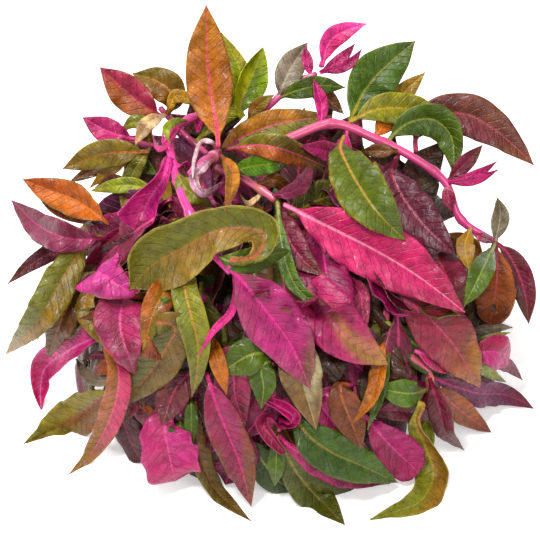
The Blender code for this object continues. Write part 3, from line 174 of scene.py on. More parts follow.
# Leaves from the deepest to the topmost: name, sprig, tint, width, roll at base and tip, fold, height above
# the mean surface at base and tip, then places (right, up) along the midrib. A name that begins with leaf is
# a piece of its own, and the others are one piece with their stem. A row named stem lays that shoot.
LEAVES = (
    # The dark leaves lie deep under the others, and their dark tint is painted shade
    ("dark_1", "left", "dark", 16, 0, 0, 8, -11, -9, (-58, 22), (-50, 6), (-46, -8)),
    ("dark_2", "left", "dark", 15, 10, 0, 8, -11, -9, (-68, 4), (-76, -8), (-80, -22)),
    ("dark_3", "lower_left", "dark", 17, 0, 0, 8, -15, -11, (-50, -10), (-42, -16), (-34, -28)),
    ("dark_4", "lower_left", "dark", 15, 0, 0, 8, -13, -10, (-46, -30), (-44, -46)),
    ("dark_5", "front_left", "dark", 18, 0, 0, 8, -18, -12, (-20, 4), (-12, -10), (-10, -30)),
    ("dark_6", "front_left", "dark", 17, 0, 0, 8, -17, -12, (-22, -14), (-30, -28), (-34, -46)),
    ("dark_7", "front_left", "dark", 15, 0, 0, 8, -14, -10, (-25, -32), (-18, -46), (-14, -62)),
    ("dark_8", "centre", "dark", 18, 0, 0, 8, -18, -12, (4, 6), (12, -6), (16, -26)),
    ("dark_9", "centre", "dark", 17, 0, 0, 8, -17, -12, (3, -16), (-6, -34), (-8, -52)),
    ("dark_10", "centre", "dark", 16, 0, 0, 8, -14, -10, (4, -36), (14, -50), (22, -66)),
    ("dark_11", "middle", "dark", 18, 0, 0, 8, -17, -12, (26, 4), (36, -10), (40, -28)),
    ("dark_12", "middle", "dark", 17, 0, 0, 8, -16, -12, (30, -20), (22, -36), (22, -54)),
    ("dark_13", "middle", "dark", 16, 0, 0, 8, -13, -10, (33, -38), (44, -50), (50, -64)),
    ("dark_14", "lower_right", "dark", 17, 0, 0, 8, -13, -10, (44, 0), (56, -12), (62, -30)),
    ("dark_15", "lower_right", "dark", 16, 0, 0, 8, -12, -9, (46.5, -22), (46, -38), (52, -56)),
    ("dark_17", "far_right", "dark", 16, 0, 0, 8, -11, -8, (76, -6), (84, -18), (88, -34)),
    ("dark_18", "upper_left", "dark", 16, 0, 0, 8, -8, -6, (-34, 54), (-24, 60), (-10, 62)),
    ("dark_19", "left_upper", "dark", 15, 0, 0, 8, -9, -7, (-44, 48), (-50, 40), (-60, 32)),
    ("dark_20", "middle", "dark", 17, 0, 0, 8, -18, -9, (18, 28), (26, 42), (30, 58)),
    ("dark_21", "far_right", "dark", 17, 0, 0, 8, -14, -7, (60, 22), (60, 38), (70, 52)),
    ("dark_22", "lower_right", "dark", 16, 0, 0, 8, -16, -8, (34, 24), (44, 38), (50, 54)),
    # lowest leaves, round the foot of the heap
    ("leaf_olive_floor", "lower_left", "olive_rust", 18, 0, -30, 6, -4, -14, (-60, -47), (-71, -54),
     (-83, -62), (-98.5, -69.5)),
    ("green_low_1", "lower_right", "lime", 6, 20, 20, 10, -7, -9, (60, -60), (64, -73.5)),
    ("grey_curl", "lower_left", "grey", 6, 20, 30, 25, -6, -5, (-64, -44), (-72, -43.5), (-77.5, -35.5)),
    ("red_twig", "lower_left", "wine", 3.5, 0, 0, 10, -8, -7, (-63, -33), (-69, -34), (-75.5, -36.5)),
    ("brown_wedge", "lower_left", "rust", 6, 0, 20, 8, -7, -7, (-63, -35), (-71, -41.5)),
    ("wine_low_right", "far_right", "wine", 10, 0, 0, 10, -6, -4, (84, -45.5), (92, -47.5)),
    ("green_low_right", "far_right", "lime", 5, 0, 0, 8, -6, -5, (84, -39), (94.5, -45)),
    ("purple_right", "lower_right", "purple", 11.5, 20, 0, 12, -6, 0, (66, -45), (82, -49), (95, -50),
     (105.5, -55.5)),
    ("rust_low_right", "lower_right", "rust", 10, 0, 10, 10, -6, -4, (68, -49), (77, -57), (88.5, -65)),
    ("mauve_far_right", "far_right", "mauve", 7, 20, 10, 10, -6, -2, (84, -34), (94, -37.5), (101, -44)),
    ("grey_far_right", "far_right", "grey", 5, 30, 10, 10, -6, -2, (82, -26), (91, -23), (97, -23)),
    ("lime_far_right", "far_right", "lime", 3.5, 30, 10, 10, -7, -3, (82, -28), (90, -26.5), (96, -25)),
    ("leaf_red_square", "far_right", "hot_pink", 15, -10, 10, 10, -6, -3, (78, -30), (87, -32.5),
     (96, -34)),
    ("magenta_low_right", "middle", "wine", 8, 10, 0, 12, -6, -5, (44, -56), (55, -56.5), (67, -59.5)),
    ("dark_green_low", "lower_right", "green", 11, 10, 0, 8, -6, -4, (64, -46), (55, -49.5), (43, -47)),
    ("brown_hanging", "lower_right", "wine", 10, 25, 40, 15, -6, -8, (64, -43), (67.5, -54), (71, -66),
     (77.5, -72)),
    ("leaf_folded_floor", "lower_right", "lime", 14, 30, -35, 6, -8, -14, (58, -62), (65, -77), (63, -90),
     (53, -95.5), (40, -100)),
    ("leaf_magenta_broad", "middle", "magenta", 17, 0, -10, 12, -6, -6, (38, -58), (47, -69), (59.5, -81)),
    ("leaf_dark_olive_bottom", "centre", "olive", 15, 10, -20, 12, -6, -12, (2, -66), (10, -80),
     (19, -91), (30, -102)),
    ("green_bottom_tip", "centre", "green", 7, 10, 0, 12, -7, -8, (0, -68), (2, -86.5)),
    ("magenta_low", "centre", "magenta", 9, 20, 0, 8, -6, -10, (10, -72), (28, -82.5), (48, -85.5)),
    ("magenta_long_thin", "middle", "magenta", 10, -10, 10, 14, -7, -6, (20, -52), (29, -65), (37, -73.5),
     (46, -80.5)),
    ("leaf_green_glossy", "centre", "green", 17.5, 0, -12, 8, -4, -6, (6, -59), (19, -69.5), (34, -77),
     (51, -85)),
    ("leaf_brown_floor", "front_left", "brown", 9, -30, -35, 12, -6, -14, (-29, -53), (-29, -70),
     (-22, -88), (-7.5, -100.5)),
    ("green_low_left", "front_left", "green", 9, 0, 0, 10, -7, -6, (-37, -58), (-36, -67.5)),
    ("green_low_middle", "front_left", "green", 5.5, 0, 0, 10, -8, -6, (-31, -50), (-31.3, -70)),
    ("rust_twig", "lower_left", "rust", 3, 0, 0, 10, -6, -5, (-56, -50), (-50, -54), (-45.5, -62)),
    ("crimson_bits", "lower_left", "wine", 5, 20, 40, 10, -5, -3, (-57, -48), (-54, -54), (-58, -60.5)),
    ("leaf_torn_magenta", "front_left", "rose", 24, 10, -10, 4, -5, -4, (-42, -61), (-41, -70),
     (-38, -84.5)),
    ("leaf_mauve_brown", "front_left", "mauve", 13, 0, 5, 8, -5, -3, (-32, -37), (-38, -48), (-43, -62)),
    ("wine_rose", "front_left", "rose", 15, 0, 10, 12, -7, -5, (-16, -36), (-14, -50), (-10, -62.5)),
    ("leaf_magenta_brown", "front_left", "magenta", 15, 0, 0, 14, -3, -2, (-24, -42), (-20, -58),
     (-12.5, -76), (-7.5, -94.5)),
    ("rolled_pink", "centre", "rose", 11, 20, 20, 30, -4, -2, (-3, -61), (6, -73)),
    ("rolled_magenta", "centre", "magenta", 10, 20, 20, 30, -4, -1, (10.5, -60), (4, -55), (-4, -51)),
    ("leaf_rust_middle", "middle", "rust", 13, 10, -10, 12, -6, -3, (28, -48), (36.5, -71.5)),
    ("green_thin_middle", "lower_right", "green", 5, 0, 0, 10, -6, -3, (47, -34), (44, -49), (39, -64)),
    ("salmon_middle", "lower_right", "orange", 7, 30, 30, 12, -5, -1, (43, -34), (43.5, -46), (33, -61.5)),
    ("green_middle_tip", "centre", "green", 11, 0, 0, 12, -6, -2, (-3, -36), (-2.5, -46), (-3.5, -55.5)),
    ("leaf_green_crinkled", "centre", "green", 14, 10, -10, 8, -5, -1, (2, -31), (-8, -34), (-19.5, -41)),
    ("leaf_grey_front", "centre", "grey", 16, 0, 0, 8, -5, 0, (8, -20), (12, -40), (18.5, -64)),
    ("pink_brown_small", "front_left", "orange", 6.5, 10, -10, 14, -6, -2, (-21, -21), (-21, -36),
     (-17.3, -50)),
    ("dark_green_left", "lower_left", "green", 10, 0, 0, 10, -8, -5, (-38.5, -17), (-33.5, -27)),
    ("leaf_olive_wide", "lower_left", "olive", 18, 10, 0, 10, -6, -3, (-38, -23), (-46, -38), (-59, -54.5)),
    ("brown_crumple", "lower_left", "rust", 8, 20, 20, 15, -5, -2, (-52, -28), (-43, -36)),
    ("leaf_hot_pink_left", "lower_left", "hot_pink", 14, 30, -25, 15, -5, 0, (-66, -26), (-80, -32),
     (-91, -41), (-91.5, -56)),
    ("leaf_pink_olive", "lower_left", "hot_pink", 11, -15, 20, 12, -3, -6, (-65, -28), (-60, -43),
     (-64, -59), (-71, -73), (-80.7, -82)),
    ("grey_left", "left", "grey", 8, 20, 20, 14, -8, -6, (-75, -15), (-80.5, -28.5)),
    ("dark_brown_left", "left", "brown", 14, 15, 0, 12, -6, -4, (-74, -3), (-82, -17), (-89, -35.5)),
    ("cream_edge", "left", "cream", 5, 20, 0, 8, -7, -4, (-76, -3), (-87, -15), (-93, -28)),
    ("rust_under_left", "left", "rust", 9, 10, 0, 10, -8, -5, (-72, 22), (-84, 25), (-95, 33.5)),
    ("pink_gloss_left", "left", "cream", 6, 10, 0, 12, -5, -3, (-71, 18), (-82, 0)),
    ("wine_narrow_left", "left", "wine", 4.5, 10, 0, 10, -5, -3, (-69, 19), (-73, 6)),
    ("purple_narrow_left", "left", "wine", 8, 10, 0, 12, -6, -2, (-80, 10), (-93, 4), (-105, -5.6)),
    ("leaf_olive_long", "left", "olive", 16, 15, -5, 12, -4, -1, (-73, 12), (-83, -4), (-92, -19),
     (-106, -34)),
    ("orange_crescent", "left", "olive_rust", 8.5, 15, 20, 10, -6, -2, (-72, -3), (-74, -15), (-64, -32)),
    ("leaf_mauve_left", "lower_left", "rose", 20, 0, 10, 12, -4, 0, (-54, -4), (-60, -20), (-54, -42)),
    ("leaf_orange_flank", "lower_left", "orange", 11.5, -15, 0, 8, -4, 2, (-36, -1), (-45, -13),
     (-51, -32.5)),
    ("rose_upright", "middle", "rose", 7, 20, -10, 14, -7, -5, (35, -6), (38, -25.5)),
    ("leaf_deep_rose", "centre", "magenta", 21.5, 0, -5, 12, -7, -1, (10, 1), (22, -17), (34, -29.5),
     (47.5, -38)),
    ("leaf_pink_red", "lower_right", "hot_pink", 10, -15, 0, 12, -5, -2, (54, -35), (65, -35), (79, -39)),
    ("leaf_rose_brown", "lower_right", "rose", 22, 0, 0, 12, -3, 1, (50, -8), (62, -18), (73, -29.5),
     (84, -47)),
    ("pink_petiole_front", "front_left", "hot_pink", 3, 0, 0, 10, -6, -2, (-24, -14), (-29, -9)),
    ("leaf_green_long", "front_left", "olive", 12, 10, -5, 14, -5, 1, (-34, 1), (-32, -16), (-28.5, -34),
     (-31.3, -51)),
    # upper left edge
    ("olive_brown_back", "upper_left", "olive_rust", 14, 0, 0, 10, -5, 0, (-38, 68), (-44, 75),
     (-55, 78.5)),
    ("leaf_rust_upper_left", "upper_left", "rust", 15, -10, 0, 12, -3, 2, (-40, 66), (-54, 68.5),
     (-68, 81)),
    ("amber_upper_left", "upper_left", "amber", 6, 0, 0, 10, -3, 0, (-37, 70), (-27, 65)),
    ("olive_upper_left", "left_upper", "olive", 7, 20, 0, 10, -5, -2, (-47, 54), (-52, 60), (-60, 55)),
    ("green_crinkle_left", "left_upper", "green", 7, 0, 0, 15, -4, -2, (-53, 44), (-45, 38)),
    ("brown_edge_left", "left_upper", "brown", 7, 10, 0, 10, -6, -4, (-60, 46), (-80.5, 35)),
    ("amber_edge_left", "left_upper", "amber", 6, 10, 0, 10, -6, -4, (-58, 46), (-72, 33)),
    ("olive_slip_left", "left", "olive_rust", 6, 0, 0, 10, -6, -3, (-43, 36), (-40, 25)),
    ("dark_edge_left", "left", "wine", 6, 10, 0, 10, -7, -5, (-60, 36), (-70, 33)),
    ("olive_upright_left", "left_upper", "olive", 8, 20, 10, 12, -3, -1, (-48, 47), (-55, 38), (-59, 22)),
    ("leaf_magenta_far_left", "left_upper", "magenta", 11, 10, 0, 10, -5, -1, (-53, 50), (-64, 55),
     (-75, 61)),
    ("lime_left", "left", "lime", 7, 0, 0, 10, -8, -5, (-57, 34), (-72, 31.5)),
    ("leaf_olive_far_left", "left_upper", "olive", 12.5, -10, 0, 12, -3, 1, (-52, 49), (-66, 46.5),
     (-83, 40.5)),
    ("leaf_orange_left", "left", "orange", 14.5, -15, 0, 12, -5, 0, (-66, 18), (-76, 27), (-86, 31),
     (-99, 36.3)),
    ("grey_purple_left", "left", "mauve", 14, -10, 0, 12, -6, -3, (-75, 12), (-90, 16), (-103.5, 28)),
    # upper edge behind the crown
    ("gold_behind_crown", "upper_left", "lime", 10, 10, 0, 12, -5, -2, (-12, 70), (-13, 82), (-19.5, 95)),
    ("stem", "top"),
    ("leaf_yellow_folded", "top", "lime", 15, 20, 0, 20, -4, 1, (-12, 66), (-7, 78), (-2.7, 89)),
    ("grey_brown_top", "top", "grey", 12, -10, 0, 12, -6, -1, (3, 68), (8, 80), (15, 91)),
    ("brown_top_right", "top", "brown", 8, 0, 0, 10, -6, -3, (14, 72), (21, 70), (29.5, 62.5)),
    ("dark_green_top", "top", "green", 9, 10, 0, 10, -5, -1, (6, 68), (17, 73.5), (30, 73)),
    ("olive_beside_top", "top", "olive_rust", 6, 0, 0, 10, 2, 3, (-10, 61), (-5, 65.5), (1.5, 70)),
    ("magenta_pair_1", "top", "magenta", 5, 0, 0, 15, 1, 2, (19, 78.5), (28, 84), (34, 90.5)),
    ("magenta_pair_2", "top", "magenta", 5, 20, 0, 15, -1, 1, (22, 77), (31, 82), (36.7, 88.3)),
    ("small_magenta_top", "top", "magenta", 5, 0, 0, 15, 0, 2, (15, 77), (15, 83), (14, 89.5)),
    ("leaf_pink_tip", "top", "hot_pink", 9, 30, -20, 15, 2, 6, (19, 80), (23.5, 91), (30, 95.5),
     (38.5, 98.5)),
    ("orange_brown_top", "upper_left", "olive_rust", 13, 0, -5, 10, -1, 1, (-12, 52.5), (0, 57.5),
     (12, 60), (25, 61.5)),
    # on the right, hanging from the right stem
    ("wine_dark_right", "far_right", "wine", 17, 0, 0, 10, -7, -4, (66, 8), (77.5, -16)),
    ("stem", "right"),
    ("amber_low_right", "right", "amber", 8, 0, 0, 10, -2, -3, (78, 10), (79.5, 0)),
    ("amber_top_right", "right", "amber", 10, 10, 0, 12, -4, -1, (44, 57), (52, 69), (62, 79)),
    ("leaf_green_top_right", "right", "green", 20, 0, 5, 14, -1, 1, (28, 60), (38, 72), (47, 82),
     (58, 91.5)),
    ("orange_behind_right", "right", "orange", 9, 0, 0, 10, -2, -1, (41, 54), (48, 60), (56, 57)),
    ("leaf_purple_brown_right", "right", "wine", 18, 10, -10, 12, -2, 1, (60, 58), (74, 63), (90, 56),
     (105.5, 42)),
    ("leaf_olive_yellow", "right", "lime", 13.5, 0, 0, 12, 2, 2, (30, 59.5), (42, 64), (55, 64.5),
     (71, 61.5)),
    ("pale_green", "right", "green", 15, 10, 30, 14, 2, 3, (53, 58), (66, 60), (73, 52), (73.5, 38)),
    ("rust_small_right", "right", "wine", 7, 10, 0, 12, 0, 1, (73, 38), (85, 50)),
    ("magenta_fork_1", "right", "magenta", 4, 0, 0, 15, 1, 2, (73, 36.5), (82, 38), (91, 43.5)),
    ("magenta_fork_2", "right", "magenta", 4.5, 10, 0, 15, 1, 2, (73, 35), (82, 36), (91, 40)),
    ("rose_hanging", "right", "rose", 6, 10, 0, 12, 0, 0, (70, 33), (72.5, 23.5)),
    ("mauve_slip", "right", "mauve", 7, 10, 0, 14, -1, 2, (46, 38), (29.5, 50.5)),
    ("brown_small_right", "right", "brown", 6, 0, 0, 10, -2, -1, (48, 45), (36, 47.5)),
    ("leaf_wine_grey", "right", "wine", 18, 0, 0, 12, -3, 0, (49, 37), (59, 21), (74, 6)),
    ("bud_end", "right", "rose", 4.5, 0, 0, 25, 1, 2, (87, 12), (81, 14.5)),
    ("wine_end", "right", "wine", 11, 0, 10, 14, 0, 1, (94, 8), (101, -5), (103.5, -21.5)),
    ("red_end", "right", "rust", 17, -5, 0, 14, -2, -3, (91, 1), (90, -10), (88, -22)),
    ("green_end", "right", "green", 10.5, 15, 0, 14, -1, 0, (83, -4), (77.6, -14.5)),
    ("grey_green_up_end", "right", "grey", 8, 10, 0, 20, 1, 2, (90.5, 15), (92, 22), (91, 29)),
    # from the centre stem
    ("stem", "centre_upper"),
    ("bronze_curl", "centre_upper", "brown", 6, 20, 0, 15, 0, -1, (2, 36), (10.5, 29)),
    ("mauve_upright", "centre_upper", "mauve", 7, 20, 0, 15, -2, 0, (12, 33), (16.5, 43.5)),
    ("cream_hook", "centre_upper", "cream", 2.4, 0, 0, 10, -3, -2, (-4, 28.5), (-8, 26.5), (-12, 30)),
    ("green_behind_crown", "centre_upper", "green", 9, 0, 0, 10, -1, 0, (-13, 41), (-4, 42), (9, 43)),
    ("wine_under_magenta", "centre_upper", "wine", 12, 0, 0, 10, -2, -1, (3, 23), (9, 9), (21, -2.5)),
    ("dark_green_narrow", "centre_upper", "green", 6.5, 10, 0, 14, 0, 3, (4, 14), (8, 0), (14, -12),
     (25.5, -17.5)),
    ("leaf_magenta_long", "centre_upper", "magenta", 24, 5, -5, 12, 0, 3, (7, 25.5), (22, 18), (40, 9),
     (60, -3), (78, -17)),
    # round the front stem
    ("brown_glossy", "front_left", "brown", 11, 0, 0, 12, -6, -2, (-31, 5)),
    ("stem", "front"),
    ("pink_petiole_1", "front", "hot_pink", 2.4, 0, 0, 10, 1, 3, (-41.5, 50), (-43, 57)),
    ("pink_petiole_2", "front", "hot_pink", 3, 0, 0, 10, 1, 3, (-43.5, 48), (-47.5, 55)),
    ("pink_petiole_3", "front", "hot_pink", 2.6, 0, 0, 10, 2, 4, (-36, 39.5), (-32.5, 42.5), (-31, 36.5)),
    ("lime_curl", "front", "lime", 4, 20, 0, 15, 1, 2, (-41, 58), (-40, 50)),
    ("pink_drop", "front", "hot_pink", 3.2, 0, 0, 10, 1, 2, (-31.5, 60), (-29, 54.5)),
    ("olive_beside_stem", "front", "olive", 9, 10, 0, 10, -1, 0, (-33, 32), (-22.5, 25)),
    ("green_under_curl", "front", "green", 10, 0, 0, 10, -2, 0, (-15, 3), (-4, 5), (8.5, 8)),
    ("pink_line_front", "front", "hot_pink", 3.2, 0, 0, 10, 1, 3, (-14, -14), (-21, -22), (-28.5, -34)),
    ("leaf_magenta_front", "front", "hot_pink", 22.5, 0, 0, 14, 1, 3, (-12, -3.5), (-1, -17), (9, -31),
     (16, -47.5)),
    ("leaf_pink_cone", "front", "hot_pink", 18, 0, 10, 14, 0, 1, (-43, 36), (-48.5, 28), (-53.5, 15.5)),
    ("leaf_pink_triangle", "left", "hot_pink", 15, 0, 10, 10, -3, 2, (-69, 3), (-62, -5), (-53.5, -10.4)),
    ("leaf_olive_curled", "front", "olive", 18, 30, -5, 14, 2, 4, (-3, 6), (-1, 13), (-10, 17.5),
     (-23, 15), (-36, 8), (-47, 2), (-56.5, -8)),
    # crown
    ("salmon_fold_top", "right", "hot_pink", 6, 20, 20, 20, 2, 5, (19, 58), (20.5, 66), (17.3, 76.5)),
    ("cream_dried", "upper_left", "cream", 7, 10, 20, 15, 0, 0, (-42.5, 67), (-48, 59), (-54, 50)),
    ("stem", "crown"),
    ("cream_cup", "crown", "cream", 8, 10, 20, 25, 3, 3, (-31, 34.5), (-25, 30.5), (-18.5, 35)),
    ("leaf_crown_right", "crown", "olive_rust", 11.5, 10, 0, 12, 4, 3, (-17, 48), (-6, 50), (6, 48),
     (24.5, 40.5)),
    ("orange_narrow_down", "crown", "orange", 6, 10, 0, 14, 3, 6, (-16, 42), (-15, 34), (-18, 24)),
    ("cream_ribbon", "crown", "cream", 5, 20, 30, 15, 5, 4, (-25, 53), (-29.5, 47), (-31, 37)),
    ("leaf_crown_orange", "crown", "orange", 19.5, -5, 5, 14, 8, 22, (-20.5, 52), (-23.5, 70), (-25, 85),
     (-25.5, 106)),
    ("magenta_top", "right", "magenta", 9.5, 0, 10, 12, 4, 5, (29, 47), (21, 48), (12, 49.5)),
    ("leaf_green_front", "right", "green", 21.5, 0, 0, 16, 5, 5, (28, 50), (33, 38), (43, 23), (54, 12)),
)
CONES = {"leaf_pink_cone"}
BLUNT = {"leaf_torn_magenta", "leaf_red_square", "leaf_magenta_broad", "red_end"}

# The far side's leaves grow in pairs at these parts of each stem's length, the lowest laid first
FAR_NODES = (0.97, 0.74, 0.5, 0.24)
FAR_ANGLE, FAR_BEND = (28, 52), (10, 40)
FAR_LENGTH, FAR_WIDTH = (31, 43), (14, 19)
FAR_TINTS = ("olive", "magenta", "rust", "rose", "green", "wine", "orange", "olive_rust", "mauve",
             "hot_pink")
FAR_ROLL_BASE, FAR_ROLL_TIP, FAR_FOLD = (-10, 10), (-15, 5), 10
FAR_HEIGHT_BASE, FAR_HEIGHT_TIP, FAR_HEIGHT_END = -5, -2, -8
FAR_END_PART, FAR_MIDDLE_PART, FAR_BACKSTEP = 0.8, 0.45, 0.04
FAR_SEED = 12
FAR_COVER, FAR_LIFT = 2.0, 20.0

# Stations along a leaf, as parts of its length: close together where the outline turns
LARGE_STATIONS = np.array((0, .1, .27, .47, .67, .86, 1))
SMALL_STATIONS = np.array((0, .14, .4, .7, 1))
HIDDEN_STATIONS = np.array((0, .3, .65, 1))
LARGE_AREA, SMALL_AREA = 450.0, 90.0
BLADE_STEPS = 4

# The outline of a leaf: the part that is stalk, how fast it widens, and how fast it narrows to its tip
STALK_PART, WIDENING = 0.07, 0.85
PETIOLE_END, TIP_HALF_WIDTH = 0.3, 0.12
NARROWING, CONE_NARROWING, BLUNT_NARROWING = 1.05, 0.15, 0.45

# Laying a piece on those before it: rounds of raising, points tested between stations, and the sharpest
# kink that raising leaves
CURVE_STEPS = 16
STEM_ROUNDS, STEM_RISE_PART = 12, 0.8
LEAST_STEM_STATIONS, STEM_TEST_STEPS, STEM_LAID_STEPS = 4, 4, 6
STEM_TEST_OFFSETS = np.array(((0, 0, 0), (1, 0, 0), (-1, 0, 0), (0, 1, 0), (0, -1, 0)))
BLADE_ROUNDS, BLADE_RISE_FACTOR, BLADE_KINK = 30, 1.5, 1.5
HALF_BLADE_POINTS, BLADE_LAID_STEPS = 5, 10
CLOSE_ENOUGH, PINNED_PART = 0.01, 0.5
SLIMMING_ROUNDS, SLIMMING = 12, 0.85
LEAST_ADVANCE = 0.25

# Joints: a leaf leaves its stem sideways, where the pieces before it leave the stem in reach
JOINT_STEPS = 3
JOINT_ROOM = 3.5
JOINT_COVER = 2.5
COVERED_COST = 4.0
JOINT_RISE_PART = 0.3
JOINT_SIDEWAYS = 0.9


def heap_depth(right, up):
    """Depth of the heap's mean surface, half an ellipsoid on the floor, and EDGE_DEPTH past its edge."""
    height = HEAP_CENTRE_HEIGHT + COS * up
    a = (2 * COS / HEAP_DEPTH) ** 2 + (SIN / HEAP_HEIGHT) ** 2
    b = 2 * (SIN * height / HEAP_HEIGHT ** 2 - SIN * COS * up * (2 / HEAP_DEPTH) ** 2)
    c = (2 * right / HEAP_WIDTH) ** 2 + (2 * SIN * up / HEAP_DEPTH) ** 2 + (height / HEAP_HEIGHT) ** 2 - 1
    root = np.sqrt(np.maximum(b * b - 4 * a * c, 0))
    return np.maximum((root - b) / (2 * a), EDGE_DEPTH)


def floor_depth(up):
    """Depth at which a sight line meets the floor."""
    return -(HEAP_CENTRE_HEIGHT + COS * up) / (SIN - COS * up / EYE_DISTANCE)


def spread(places):
    """Seen places (right, up, depth) as true lengths: what is near the eye is smaller than it looks."""
    scale = 1 - places[..., 2:] / EYE_DISTANCE
    return np.concatenate((places[..., :2] * scale, places[..., 2:]), axis=-1)


def seen(points):
    """The inverse of spread."""
    scale = 1 - points[..., 2:] / EYE_DISTANCE
    return np.concatenate((points[..., :2] / scale, points[..., 2:]), axis=-1)


def to_world(points, side):
    """Lengths across and along the sight line as world millimetres, +Z up and the floor at 0."""
    right, up, depth = points[..., 0], points[..., 1], points[..., 2]
    return np.stack((side * right, side * (SIN * up - COS * depth),
                     HEAP_CENTRE_HEIGHT + COS * up + SIN * depth), axis=-1)


def from_world(points, side):
    """The inverse of to_world."""
    x, y, height = points[..., 0], side * points[..., 1], points[..., 2] - HEAP_CENTRE_HEIGHT
    return np.stack((side * x, SIN * y + COS * height, SIN * height - COS * y), axis=-1)


def unit(vectors):
    """Vectors in the same directions, 1 long."""
    return vectors / np.maximum(np.linalg.norm(vectors, axis=-1, keepdims=True), 1e-9)


def run_along(points):
    """The length along a path at each of its points."""
    return np.concatenate(([0], np.cumsum(np.linalg.norm(np.diff(points, axis=0), axis=1))))


def smooth_path(places, stations):
    """Places at the given parts of the length of a smooth curve through the listed ones."""
    knots = np.array(places, dtype=float)
    ghosts = np.vstack((2 * knots[0] - knots[1], knots, 2 * knots[-1] - knots[-2]))
    step = np.linspace(0, 1, CURVE_STEPS, endpoint=False)[:, None]
    fine = [0.5 * (2 * b + (c - a) * step + (2 * a - 5 * b + 4 * c - d) * step ** 2
                   + (3 * b - a - 3 * c + d) * step ** 3)
            for a, b, c, d in zip(ghosts, ghosts[1:], ghosts[2:], ghosts[3:])]
    fine = np.vstack(fine + [knots[-1:]])
    run = run_along(fine)
    return np.column_stack([np.interp(stations * run[-1], run, fine[:, k]) for k in range(fine.shape[1])])


class Pile:
    """How far toward the eye the pieces laid so far reach, on a grid of 1 mm cells, one layer a piece."""

    REACH, NOTHING_LAID = 140, -999.0

    def __init__(self, side):
        self.side = side
        self.layers = {}

    def bare(self):
        """A layer with nothing on it."""
        size = 2 * self.REACH + 1
        return np.full((size, size), self.NOTHING_LAID)

    def cells(self, places):
        """The row and the column of the cell that each place lies in."""
        return tuple(np.clip(np.rint(places[..., k]).astype(int) + self.REACH, 1, 2 * self.REACH - 1)
                     for k in (0, 1))

    def add(self, name, world):
        """Lays a piece's points, each on its cell and on the eight round it."""
        layer = self.layers.setdefault(name, self.bare())
        places = seen(from_world(world, self.side)).reshape(-1, 3)
        rows, columns = self.cells(places)
        for i in (-1, 0, 1):
            for j in (-1, 0, 1):
                np.maximum.at(layer, (rows + i, columns + j), places[:, 2])

    def top(self, without=()):
        """The nearest point to the eye in each cell, with some pieces left out."""
        kept = [layer for name, layer in self.layers.items() if name not in without]
        return np.maximum.reduce(kept) if kept else self.bare()


def between(rows, steps):
    """The rows with steps - 1 more between each two, evenly spaced."""
    part = (np.arange(steps) / steps).reshape(1, steps, *[1] * (rows.ndim - 1))
    filled = rows[:-1, None] * (1 - part) + rows[1:, None] * part
    return np.concatenate((filled.reshape(-1, *rows.shape[1:]), rows[-1:]))


def lay_stem(sprig, piles):
    """Points along a stem in true lengths and its radius at each, raised to lie on what is there."""
    side, start, end, bearing, *places = STEMS[sprig]
    pile = piles[side]
    places = np.array(places, dtype=float)
    places[:, 2] += heap_depth(places[:, 0], places[:, 1])
    points = spread(places)
    if bearing is not None:
        turn = math.radians(bearing)
        trunk = np.array([(TRUNK_RING * math.cos(turn), TRUNK_RING * math.sin(turn), height)
                          for height in (TRUNK_FOOT, TRUNK_BEND)])
        points = np.vstack((from_world(trunk, side), points))
    length = np.linalg.norm(np.diff(points, axis=0), axis=1).sum()
    count = max(int(length / STEM_STEP), LEAST_STEM_STATIONS)
    stations = np.linspace(0, 1, count)
    points = smooth_path(points, stations)
    radius = (start + (end - start) * stations) / 2
    if bearing is None:
        ceiling = pile.top()
        for _ in range(STEM_ROUNDS):
            fine = seen(between(points, STEM_TEST_STEPS))
            thick = np.repeat(radius, STEM_TEST_STEPS)[:len(fine)]
            sides = fine[:, None] + thick[:, None, None] * STEM_TEST_OFFSETS
            short = np.max(ceiling[pile.cells(sides)], axis=1) + thick + LEAF_GAP - fine[:, 2]
            extra = np.zeros(count)
            for i in np.flatnonzero(short > 0):
                before = i // STEM_TEST_STEPS
                for station in {before, min(before + 1, count - 1)}:
                    extra[station] = max(extra[station], STEM_RISE_PART * short[i])
            points[:, 2] += extra
            points[1:-1, 2] = np.maximum(points[1:-1, 2], (points[:-2, 2] + points[2:, 2]) / 2)
    tube = between(points, STEM_LAID_STEPS)
    thick = np.interp(np.linspace(0, 1, len(tube)), stations, radius)[:, None, None]
    corners = [(i, j, k) for i in (-1, 0, 1) for j in (-1, 0, 1) for k in (-1, 0, 1)]
    ball = unit(np.array(corners, dtype=float))
    for each in piles.values():
        each.add("stem_" + sprig, to_world(tube[:, None] + thick * ball, side))
    return points, radius


def half_widths(name, width, stations, petiole=PETIOLE_HALF_WIDTH):
    """Half the blade's width along the leaf: a short stalk, widest near 0.4 of its length, then a point."""
    blade = np.clip((stations - STALK_PART) / (1 - STALK_PART), 0, 1)
    power = CONE_NARROWING if name in CONES else BLUNT_NARROWING if name in BLUNT else NARROWING
    shape = blade ** WIDENING * (1 - blade) ** power
    peak = WIDENING / (WIDENING + power)
    half = width / 2 * shape / (peak ** WIDENING * (1 - peak) ** power)
    if len(stations) > len(LARGE_STATIONS):
        half = np.maximum(half, np.where(stations < PETIOLE_END, petiole, TIP_HALF_WIDTH))
    else:
        half[:-1] = np.maximum(half[:-1], petiole)
        half[-1] = 0
    return half


